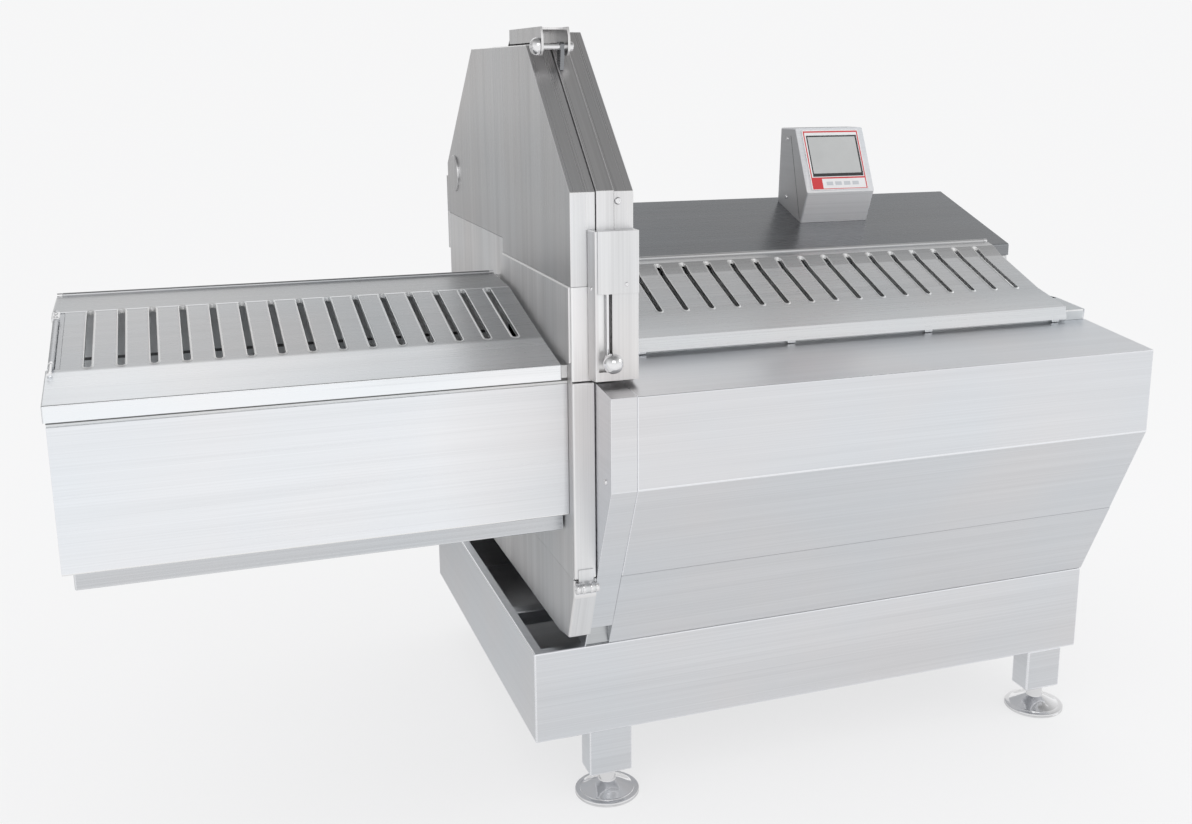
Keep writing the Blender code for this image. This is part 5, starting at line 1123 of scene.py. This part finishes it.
@dataclass
class ControlUnit:
    """The tilted control box with its film, its frame lines and its screen."""

    left: float = 0.722
    width: float = 0.160
    chin: tuple[float, float] = (0.420, 0.906)
    brow: tuple[float, float] = (0.483, 1.037)
    film_margin: float = 0.013
    film_bottom: float = 0.005
    film_top: float = 0.006
    film_back: float = 0.0003
    film_thickness: float = 0.0015
    film_out: float = 0.0018
    film_rim: float = 0.0002
    screen_left: float = 0.021
    screen_right: float = 0.019
    screen_bottom: float = 0.035
    screen_top: float = 0.018
    window_play: float = 0.0002
    ring_margins: Edges = (0.0022, 0.0016, 0.0022, 0.0022)
    ring_shares: Edges = (0.62, 0.35, 0.62, 0.80)
    ring_thickness: float = 0.00020
    line_width: float = 0.0040
    line_gap: float = 0.0012
    line_end: float = 0.3
    line_share: float = 0.8
    line_thickness: float = 0.00022
    tile_width: float = 0.0235
    tile_bottom: float = 0.2
    tile_top: float = 0.4
    tile_thickness: float = 0.00024
    key_count: int = 4
    key_first: float = 0.034
    key_pitch: float = 0.0205
    key_width: float = 0.0150
    key_bottom: float = 0.0085
    key_top: float = 0.0165
    key_thickness: float = 0.0003
    bezel_play: float = 0.0004
    bezel_back: float = -0.0050
    bezel_thickness: float = 0.0056
    glass_margins: Edges = (0.0030, 0.0072, 0.0036, 0.0030)
    glass_back: float = 0.0004
    glass_thickness: float = 0.0006
    seam: Profile = ((0.5006, 1.0210), (0.5016, 1.0210), (0.4526, 0.8490), (0.4516, 0.8490))
    seam_proud: float = 0.0003
    seam_rim: float = 0.0001
    side_screws: tuple[tuple[float, float], ...] = ((0.517, 1.014), (0.516, 0.890))
    screw_radius: float = 0.0042

    def face_turn(self) -> tuple[Matrix, float]:
        """Return the matrix from the face's frame (across, up, out) to the machine's, and its length."""
        chin, brow = Vector((0, *self.chin)), Vector((0, *self.brow))
        up = (brow - chin).normalized()
        out = Vector((0, -up.z, up.y))
        across = Vector((1, 0, 0))
        turn = Matrix((across, up, out)).transposed().to_4x4()
        return Matrix.Translation(Vector((self.left, *self.chin))) @ turn, (brow - chin).length

    def film(self, name: str, edges: Edges, out: float, thickness: float,
             hole: Optional[Edges] = None) -> Piece:
        """Model a thin film on the face, with an optional window.

        Args:
            name: the piece's name.
            edges: its left, bottom, right and top edge in the face's frame.
            out: how far its back stands off the face.
            thickness: its thickness.
            hole: the same edges of its window.
        """
        piece = rectangle(name, edges[:2], edges[2:], out)
        with editing(piece, "FACE"):
            select_whole()
            if hole:
                margin = min(abs(outer - inner) for outer, inner in zip(edges, hole))
                bpy.ops.mesh.inset(thickness=margin / 2)
                shape = bmesh.from_edit_mesh(piece.data)
                inside = next(face for face in shape.faces if face.select)
                for vertex in inside.verts:
                    vertex.co.x = hole[0] if vertex.co.x < (edges[0] + edges[2]) / 2 else hole[2]
                    vertex.co.y = hole[1] if vertex.co.y < (edges[1] + edges[3]) / 2 else hole[3]
                bmesh.update_edit_mesh(piece.data)
                bpy.ops.mesh.delete(type="FACE")
                select_whole()
            bpy.ops.mesh.extrude_region_move(TRANSFORM_OT_translate={"value": (0, 0, thickness)})
            face_outwards()
        set_down(piece, self.face_turn()[0])
        soften(piece, self.film_rim)
        return piece

    def overlay(self, shop: Workshop, film: Edges, window: Edges) -> None:
        """Build the overlay's white film, its red frame, line and tile, and its grey keys.

        Args:
            shop: what dresses the pieces.
            film: the film's edges in the face's frame.
            window: the screen window's edges.
        """
        line = self.line_width
        ring = inset(film, *self.ring_margins)
        start, end = ring[0] + line * self.line_end, ring[2] - line * self.line_end
        under = window[1] - line - self.line_gap
        opening = inset(window, *[-self.window_play] * 4)
        base = self.film("overlay_film", film, self.film_back, self.film_thickness, opening)
        shop.stand_in(base, WHITE_FILM, "control_overlay")
        ring_hole = inset(ring, *(line * share for share in self.ring_shares))
        for name, edges, thickness, hole in (
                ("overlay_red_frame", ring, self.ring_thickness, ring_hole),
                ("overlay_red_line", (start, under, end, under + line * self.line_share),
                 self.line_thickness, None),
                ("overlay_red_tile", (start, ring[1] + line * self.tile_bottom, start + self.tile_width,
                                      under + line * self.tile_top), self.tile_thickness, None)):
            piece = self.film(name, edges, self.film_out, thickness, hole)
            shop.finish(piece, RED_FILM, MACHINE, SLOT_OF["control_overlay"])
        keys = []
        for index in range(self.key_count):
            start = ring[0] + self.key_first + index * self.key_pitch
            edges = (start, ring[1] + self.key_bottom, start + self.key_width, ring[1] + self.key_top)
            keys.append(self.film(f"overlay_key_{index}", edges, self.film_out, self.key_thickness))
        shop.finish(joined("overlay_plain_keys", keys), GREY_FILM, MACHINE, SLOT_OF["control_overlay"])

    def build(self, shop: Workshop) -> None:
        """Build and dress the control unit."""
        shop.sheet(CONTROL_SHEET, "control_box", radius=0.0032)
        length = self.face_turn()[1]
        window = (self.screen_left, self.screen_bottom, self.width - self.screen_right,
                  length - self.screen_top)
        self.overlay(shop, (self.film_margin, self.film_bottom, self.width - self.film_margin,
                            length - self.film_top), window)
        bezel = self.film("screen_bezel", inset(window, *[self.bezel_play] * 4), self.bezel_back,
                          self.bezel_thickness)
        shop.stand_in(bezel, DARK_BEZEL, "control_screen")
        glass = self.film("screen_glass_pane", inset(window, *self.glass_margins), self.glass_back,
                          self.glass_thickness)
        shop.finish(glass, SCREEN_GLASS, MACHINE, SLOT_OF["control_screen"])
        seam = plate("control_side_seam", self.seam, self.left - self.seam_proud, 2 * self.seam_proud,
                     self.seam_rim)
        set_down(seam)
        shop.add(seam, DARK_BEZEL, MACHINE, SLOT_OF["control_box"])
        shop.screws("control_screws", MACHINE, self.screw_radius,
                    *(((self.left, *spot), LEFTWARDS) for spot in self.side_screws))


# ---------------------------------------------------------------------------------------------------------
# The blade housing, its latch and its clamp
# ---------------------------------------------------------------------------------------------------------


@dataclass
class BladeHousing:
    """The door, the rim, the fixed half and the casings, with the blade and its drive inside them."""

    disc_centre: tuple[float, float] = (0.769, 0.940)
    disc_radius: float = 0.039
    face_x: float = 0.0525
    disc_sunk: float = 0.0003
    door_right: float = 0.0925
    door_reach: float = 0.0018
    rim_right: float = 0.125
    seam_width: float = 0.0010
    cover_pivot: tuple[float, float] = (-0.0795, 0.3145)
    pin_rim: float = 0.0010
    cap_places: Sequence[tuple[float, float]] = ((0.0535, -90), (0.0907, 90))
    band_places: Sequence[tuple[float, float]] = ((0.0655, 90), (0.0787, 90))
    cap_profile: Profile = ((0, 0.0002), (0.0022, 0.0002), (0.0030, 0.0012), (0.0066, 0.0014),
                            (0.0080, 0.0010), (0.0092, -0.0004), (0.0094, -0.0022), (0.0092, -0.0040),
                            (0.0084, -0.0048), (0, -0.0048))
    band_profile: Profile = ((0.0090, 0.0026), (0.0096, 0.0022), (0.0100, 0.0010), (0.0100, -0.0010),
                             (0.0096, -0.0022), (0.0090, -0.0026), (0.0086, 0.0), (0.0090, 0.0026))
    half_screw: Spot = (0.132, -0.073, 0.955)
    screw_radius: float = 0.0062

    def knuckles(self, shop: Workshop) -> None:
        """Cap both ends of the front cover's hinge with a ringed, rounded cap, and band its barrel."""
        for name, body, profile, places in (
                ("knuckle_caps", MACHINE, self.cap_profile, self.cap_places),
                ("knuckle_bands", "front_cover", self.band_profile, self.band_places)):
            turns = [(Matrix.Rotation(math.radians(angle), 4, "Y"), (across, *self.cover_pivot))
                     for across, angle in places]
            shop.add(set_out(name, turned(name, profile, steps=40), turns), CHROME, body, CHROME_SLOT)

    def disc(self, shop: Workshop) -> None:
        """Turn the raised disc on the door, with a fine groove inside its edge."""
        radius = self.disc_radius
        disc = turned("door_disc_turned", [
            (0, 0.0040), (radius - 0.0065, 0.0040), (radius - 0.0055, 0.0034), (radius - 0.0045, 0.0040),
            (radius - 0.0012, 0.0038), (radius - 0.0002, 0.0028), (radius, 0.0), (0, 0.0)], steps=72)
        place = (self.face_x - self.disc_sunk, *self.disc_centre)
        set_down(disc, Matrix.Rotation(-math.pi / 2, 4, "Y"), place)
        soften(disc, rim=0.0)
        shop.stand_in(disc, HOUSING_SHEET, "door_disc")

    def close_gap(self, piece: Piece) -> None:
        """Bring the door's right edge up to the rim, so that only a fine line is left between them."""
        move_right_side(piece, self.door_right, self.door_reach)

    def open_seam(self, piece: Piece) -> None:
        """Draw the rim's right side back from the fixed half, so that their seam shows as a fine line."""
        move_right_side(piece, self.rim_right, -self.seam_width)

    def build(self, shop: Workshop) -> None:
        """Build and dress the housing."""
        shop.sheet(HOUSING_SHEET, "blade_door", radius=0.0034, reshape=self.close_gap)
        shop.sheet(HOUSING_SHEET, "housing_rim", radius=0.0016, reshape=self.open_seam)
        shop.sheet(HOUSING_SHEET, "housing_fixed_half", radius=0.0034)
        shop.sheet(CASING_SHEET, "lower_left_casing", "rear_lower_panel")
        shop.sheet(HOUSING_SHEET, "lower_tub", radius=0.0034)
        shop.sheet(HOUSING_SHEET, "lower_front_cover")
        self.disc(shop)
        shop.screws("fixed_half_screw", MACHINE, self.screw_radius, (self.half_screw, FORWARDS))
        shop.refine(CHROME, "cover_hinge_pin", "door_hinge_pin", rim=self.pin_rim)
        self.knuckles(shop)
        shop.refine(INNER_SHEET, "main_plate")
        shop.refine(GROUND_STEEL, "blade", "blade_hub", "blade_shaft", "bearing_housing", "driven_pulley",
                    "motor_pulley")
        shop.refine(BELT_RUBBER, "drive_belt")
        shop.refine(DARK_PAINT, "blade_motor")


@dataclass
class FrontLatch:
    """The latch box with its plate, and the sliding bolt with its ball knob."""

    rod_x: float = 0.1075
    rod_y: float = -0.091
    rod_radius: float = 0.0036
    rod_bottom: float = 0.692
    rod_top: float = 0.820
    knob_height: float = 0.703
    knob_radius: float = 0.0165
    ball_steps: int = 16
    seat_share: float = 0.8
    collar_rear: float = -0.1005
    collar_thickness: float = 0.004
    collar_radius: float = 0.012
    stem_radius: float = 0.005
    neck: float = 0.002
    neck_rise: float = 0.0006
    broken_edge: float = 0.0008
    side_edge: float = 0.0835
    side_front: float = -0.090
    side_lean: float = 0.0050
    liner_low: Spot = (0.0855, -0.0868, 0.6835)
    liner_high: Spot = (0.1235, -0.0856, 0.8160)
    liner_rim: float = 0.0004
    front_screw: Spot = (0.137, -0.1003, 0.826)
    side_screw: Spot = (0.0822, -0.086, 0.820)
    side_out: Spot = (-1, -0.2, 0)
    screw_radius: float = 0.0036

    def lean_side(self, piece: Piece) -> None:
        """Lean the latch box's left side back, by moving its front left edge to the right."""
        for vertex in piece.data.vertices:
            spot = vertex.co - MACHINE_ZERO
            if spot.x < self.side_edge and spot.y < self.side_front:
                vertex.co.x += self.side_lean

    def ball_y(self) -> float:
        """Return the depth of the ball's centre, in front of its collar."""
        return self.collar_rear - self.collar_thickness - self.knob_radius * self.seat_share

    def knob_profile(self) -> list[tuple[float, float]]:
        """Return the knob's outline from the front of its ball, over its collar, to the end of its stem."""
        ball, collar, stem, edge = self.knob_radius, self.collar_radius, self.stem_radius, self.broken_edge
        front = -ball * self.seat_share
        behind = self.ball_y() - self.collar_rear
        end = self.ball_y() - self.rod_y
        angles = [math.pi * step / self.ball_steps for step in range(self.ball_steps - 1)]
        points = [(ball * math.sin(angle), ball * math.cos(angle)) for angle in angles]
        return [point for point in points if point[1] > front + self.neck] + [
            (stem + self.neck, front + self.neck_rise), (collar - edge, front), (collar, front - edge),
            (collar, behind + edge), (collar - edge, behind), (stem, behind), (stem, end), (0, end)]

    def build(self, shop: Workshop) -> None:
        """Build and dress the latch."""
        shop.sheet(HOUSING_SHEET, "latch_box", radius=0.0012, reshape=self.lean_side)
        shop.sheet(HOUSING_SHEET, "latch_cover", radius=0.0006)
        liner = block("latch_liner", self.liner_low, self.liner_high, self.liner_rim)
        set_down(liner)
        shop.add(liner, RIM_SHEET, MACHINE, SLOT_OF["latch_box"])
        knob = turned("latch_knob", self.knob_profile())
        set_down(knob, Matrix.Rotation(math.pi / 2, 4, "X"), (self.rod_x, self.ball_y(), self.knob_height))
        radius, edge, low, high = self.rod_radius, self.broken_edge, self.rod_bottom, self.rod_top
        rod = turned("latch_rod", [(0, high), (radius - edge, high), (radius, high - edge),
                                   (radius, low + edge), (radius - edge, low), (0, low)], steps=32)
        set_down(rod, at=(self.rod_x, self.rod_y, 0))
        bolt = joined("latch_bolt_polished", [knob, rod])
        soften(bolt, rim=0.0)
        shop.stand_in(bolt, CHROME, "latch_bolt")
        shop.screws("latch_screws", MACHINE, self.screw_radius, (self.front_screw, FORWARDS),
                    (self.side_screw, self.side_out))


@dataclass
class TopClamp:
    """The clamp lever over the two halves of the housing, with its pin and its ringed head."""

    pivot: tuple[float, float] = (0.120, 1.194)
    head_seat: float = 0.0617
    tail_seat: float = 0.1123
    thickness: float = 0.008
    lug_left: float = 0.0970
    lug_width: float = 0.0070
    lug: Profile = ((0.118, 1.1556), (0.1125, 1.184), (0.1125, 1.198), (0.117, 1.202), (0.134, 1.202),
                    (0.134, 1.1705))

    def pin_profile(self) -> list[tuple[float, float]]:
        """Return the pin's outline from the middle of its ringed head to the middle of its tail."""
        tail = self.head_seat - self.tail_seat
        end = tail - self.thickness
        return [
            (0, 0.0150), (0.0040, 0.0147), (0.0046, 0.0139), (0.0058, 0.0137), (0.0064, 0.0142),
            (0.0092, 0.0130), (0.0116, 0.0110), (0.0135, 0.0084), (0.0146, 0.0056), (0.0149, 0.0036),
            (0.0149, 0.0012), (0.0140, 0.0), (0.0050, 0.0), (0.0050, tail), (0.0070, tail),
            (0.0079, tail - 0.0010), (0.0079, end + 0.0014), (0.0066, end), (0, end),
        ]

    def build(self, shop: Workshop) -> None:
        """Build and dress the clamp."""
        shop.sheet(HOUSING_SHEET, "top_clamp_lever", radius=0.0012)
        pin = turned("clamp_pin_turned", self.pin_profile())
        set_down(pin, Matrix.Rotation(-math.pi / 2, 4, "Y"), (self.head_seat, *self.pivot))
        soften(pin, rim=0.0)
        shop.stand_in(pin, CHROME, "clamp_pin")
        lug = plate("clamp_lug_plate", self.lug, self.lug_left, self.lug_width)
        set_down(lug)
        shop.add(lug, DECK_SHEET, BODY_OF["clamp_pin"], SLOT_OF["top_clamp_lever"])


# ---------------------------------------------------------------------------------------------------------
# The outfeed
# ---------------------------------------------------------------------------------------------------------


@dataclass
class Outfeed:
    """The outfeed's panels, belt and rollers, both lids' hinge rods and the fittings at the lid's end."""

    fitting_x: float = -0.7165
    bolt_front: tuple[float, float] = (0.034, 0.7178)
    bolt_rise: float = 0.2198
    bolt_profile: Profile = ((0, 0), (0.0030, 0), (0.0042, 0.0008), (0.0042, 0.0056), (0.0034, 0.0064),
                             (0.0028, 0.0064), (0.0028, 0.0380), (0.0038, 0.0384), (0.0038, 0.0424),
                             (0.0030, 0.0430), (0, 0.0430))
    block_middle: tuple[float, float] = (0.2425, 0.7672)
    block_half: Spot = (0.0062, 0.0125, 0.0050)
    block_rim: float = 0.0016
    block_steps: int = 4
    field_slope: float = 13.9
    strip: Profile = ((0.0645, 0.7178), (0.0645, 0.7200), (0.2635, 0.7693), (0.2635, 0.7671))
    strip_left: float = -0.7114
    strip_width: float = 0.0071
    flap_rim: float = 0.0003
    screw_radius: float = 0.0034

    def end_fittings(self, shop: Workshop) -> None:
        """Add the strip at the lid's end, its bolt in front and its screwed bearing block behind."""
        bolt = turned("strip_bolt", self.bolt_profile, steps=32)
        along = (0, math.sqrt(1 - self.bolt_rise ** 2), self.bolt_rise)
        set_down(bolt, turn_towards(along), (self.fitting_x, *self.bolt_front))
        shop.add(bolt, CHROME, "lid", CHROME_SLOT)
        half = Vector(self.block_half)
        bearing = block("strip_bearing", -half, half, self.block_rim, self.block_steps)
        tilt = Matrix.Rotation(math.radians(self.field_slope), 4, "X")
        middle = Vector((self.fitting_x, *self.block_middle))
        set_down(bearing, tilt, middle)
        shop.add(bearing, CHROME, "lid", CHROME_SLOT)
        strip = plate("lid_end_strip", self.strip, self.strip_left, self.strip_width)
        set_down(strip)
        shop.add(strip, TOP_SHEET, "lid", SLOT_OF["outfeed_lid"])
        shop.screws("strip_screws", "lid", self.screw_radius,
                    *((middle + tilt @ Vector((0, side * half.y / 2, half.z)), tilt @ Vector((0, 0, 1)))
                      for side in (-1, 1)))

    def build(self, shop: Workshop) -> None:
        """Build and dress the outfeed."""
        shop.sheet(OUTFEED_SHEET, "outfeed_front_panel")
        shop.sheet(FRAME_SHEET, "outfeed_frame", radius=0.0008)
        shop.sheet(TOP_SHEET, "outfeed_tray", radius=0.0026)
        shop.refine(FOOD_BELT, "conveyor_belt")
        shop.refine(GROUND_STEEL, "drive_roller", "idler_roller")
        shop.refine(CHROME, "lid_hinge_rod", "hood_hinge_rod")
        shop.refine(TOP_SHEET, "end_flap", rim=self.flap_rim)
        self.end_fittings(shop)


# ---------------------------------------------------------------------------------------------------------
# Floor, light and camera
# ---------------------------------------------------------------------------------------------------------


Ramp = tuple[float, float, float, float]


class Lamp(NamedTuple):
    """A soft rectangular lamp."""

    name: str
    place: Spot
    aim: Spot
    width: float
    power: float


@dataclass
class Studio:
    """The plain pale floor, the soft light and the camera at the photograph's place.

    A ramp gives the range of a direction or depth, and then the light at its start and at its end.
    """

    pale: Colour = (0.925, 0.925, 0.93)
    floor_size: float = 60.0
    floor_drop: float = 0.0004
    floor_roughness: float = 0.9
    floor_seen: float = 0.72
    floor_mirrored: float = 0.85
    # Painted shade in the floor's reflection, by depth: darker near the machine's front and towards the
    # rear.
    floor_near: Ramp = (-1.6, -0.55, 1.0, 0.80)
    floor_far: Ramp = (-0.2, 1.4, 1.0, 0.56)
    horizon: Ramp = (0.08, 0.42, 1.0, 0.78)
    zenith: Ramp = (0.48, 0.95, 0.0, 0.50)
    wall_slant: float = 0.32
    wall_side: Ramp = (-0.06, 0.14, 1.0, 0.0)
    wall_back: Ramp = (0.25, 0.6, 0.0, 1.0)
    wall_top: Ramp = (0.80, 0.62, 0.0, 0.42)
    wall_foot: Ramp = (0.2, 0.5, 0.0, 1.0)
    corner_side: Ramp = (-0.02, -0.36, 0.0, 0.50)
    corner_back: Ramp = (0.0, 0.5, 0.0, 1.0)
    lamps: tuple[Lamp, ...] = (Lamp("front_softbox", (-0.6, -3.4, 3.0), (0.1, 0.0, 0.6), 2.4, 12.0),
                               Lamp("side_softbox", (3.4, -1.0, 2.4), (0.2, 0.0, 0.6), 1.8, 7.0))
    lamp_shape: float = 0.7
    camera_at: Spot = (-0.7460, -2.3482, 1.2898)
    camera_pitch: float = 12.932
    camera_yaw: float = 20.374
    sensor_width: float = 36.0
    clip_end: float = 200.0
    focal_pixels: float = 1282.65
    image_width: float = 1192.0
    image_height: float = 824.0
    middle_x: float = 646.05
    middle_y: float = 366.61

    def rays(self, nodes: Nodes) -> tuple[Socket, Socket]:
        """Return whether the camera looks straight or through glass, and whether it looks at a mirror."""
        light = nodes.add("ShaderNodeLightPath").outputs
        seen = nodes.math("MAXIMUM", light["Is Camera Ray"], light["Is Transmission Ray"])
        return seen, light["Is Glossy Ray"]

    def build_floor(self) -> None:
        """Lay the floor, which keeps a soft shadow and otherwise looks like the background; what mirrors it
        sees painted shade near the machine and towards the rear.
        """
        bpy.ops.object.select_all(action="DESELECT")
        bpy.ops.mesh.primitive_plane_add(size=self.floor_size, location=(0, 0, -self.floor_drop))
        floor = bpy.context.object
        floor.name = "studio_floor"
        material, nodes, shader = Finish("pale_floor", self.pale, self.floor_roughness).shader()
        shader.inputs["Specular IOR Level"].default_value = 0.0
        seen, mirrored = self.rays(nodes)
        depth = nodes.parts(nodes.add("ShaderNodeTexCoord").outputs["Object"])[1]
        # Painted shadow: for glossy rays the floor glows darker near the machine and towards the rear.
        rear = nodes.math("MULTIPLY", nodes.ramp(depth, *self.floor_near),
                          nodes.ramp(depth, *self.floor_far))
        tone = nodes.mix(mirrored, (*self.pale, 1), nodes.grey(rear))
        glow = nodes.add("ShaderNodeEmission", {"Color": tone, "Strength": 1.0}).outputs[0]
        share = nodes.math("ADD", nodes.math("MULTIPLY", seen, self.floor_seen),
                           nodes.math("MULTIPLY", mirrored, self.floor_mirrored))
        mix = nodes.add("ShaderNodeMixShader", {0: share, 1: shader.outputs[0], 2: glow}).outputs[0]
        nodes.feed(material.node_tree.nodes["Material Output"], {"Surface": mix})
        floor.data.materials.append(material)

    def build_world(self) -> None:
        """Light the scene from a pale surround with a dim top, a brighter wall and a dim rear corner."""
        world = bpy.data.worlds.new("studio")
        bpy.context.scene.world = world
        world.use_nodes = True
        nodes = Nodes(world.node_tree)
        seen, mirrored = self.rays(nodes)
        across, back, up = nodes.parts(nodes.add("ShaderNodeTexCoord").outputs["Generated"])[:3]
        level = nodes.math("SUBTRACT", nodes.ramp(up, *self.horizon), nodes.ramp(up, *self.zenith))
        slanted = nodes.math("SUBTRACT", across, nodes.math("MULTIPLY", back, self.wall_slant))
        wall = nodes.math("MULTIPLY", nodes.ramp(slanted, *self.wall_side),
                          nodes.ramp(back, *self.wall_back))
        wall = nodes.math("MULTIPLY", wall, nodes.ramp(up, *self.wall_top))
        level = nodes.math("ADD", level, nodes.math("MULTIPLY", wall, nodes.ramp(up, *self.wall_foot)))
        corner = nodes.math("MULTIPLY", nodes.ramp(across, *self.corner_side),
                            nodes.ramp(back, *self.corner_back))
        level = nodes.math("MULTIPLY", level, nodes.math("SUBTRACT", 1.0, corner))
        surround = nodes.mix(mirrored, (1.0, 1.0, 1.0, 1), nodes.grey(level))
        shown = nodes.mix(seen, surround, (*self.pale, 1))
        nodes.feed(world.node_tree.nodes["Background"], {"Color": shown, "Strength": 1.0})

    def build_lamps(self) -> None:
        """Add the large soft lamps, from the upper front and from the right."""
        for lamp in self.lamps:
            data = bpy.data.lights.new(lamp.name, "AREA")
            data.shape = "RECTANGLE"
            data.size, data.size_y = lamp.width, lamp.width * self.lamp_shape
            data.energy = lamp.power
            made = bpy.data.objects.new(lamp.name, data)
            made.location = lamp.place
            aim = Vector(lamp.aim) - Vector(lamp.place)
            made.rotation_euler = aim.to_track_quat("-Z", "Y").to_euler()
            bpy.context.scene.collection.objects.link(made)

    def build_camera(self) -> None:
        """Set the camera up as the photograph's, with its small shift."""
        data = bpy.data.cameras.new("photo_camera")
        data.sensor_width = self.sensor_width
        data.lens = data.sensor_width * self.focal_pixels / self.image_width
        data.shift_x = (self.image_width / 2 - self.middle_x) / self.image_width
        data.shift_y = (self.middle_y - self.image_height / 2) / self.image_width
        data.clip_end = self.clip_end
        camera = bpy.data.objects.new("photo_camera", data)
        camera.location = self.camera_at
        camera.rotation_euler = (math.radians(90 - self.camera_pitch), 0, -math.radians(self.camera_yaw))
        bpy.context.scene.collection.objects.link(camera)
        bpy.context.scene.camera = camera

    def build(self) -> None:
        """Build the studio."""
        bpy.context.scene.view_settings.view_transform = "Standard"
        self.build_camera()
        self.build_floor()
        self.build_world()
        self.build_lamps()


def main() -> None:
    """Build the studio and then every sub-assembly in order."""
    logging.basicConfig(level=logging.INFO, format="%(name)s: %(message)s")
    Studio().build()
    shop = Workshop(Paints())
    for group in (Stand(), FeedBody(), INFEED_HOOD, ControlUnit(), BladeHousing(), FrontLatch(), TopClamp(),
                  Outfeed(), OUTFEED_LID):
        group.build(shop)


if __name__ == "__main__":
    main()
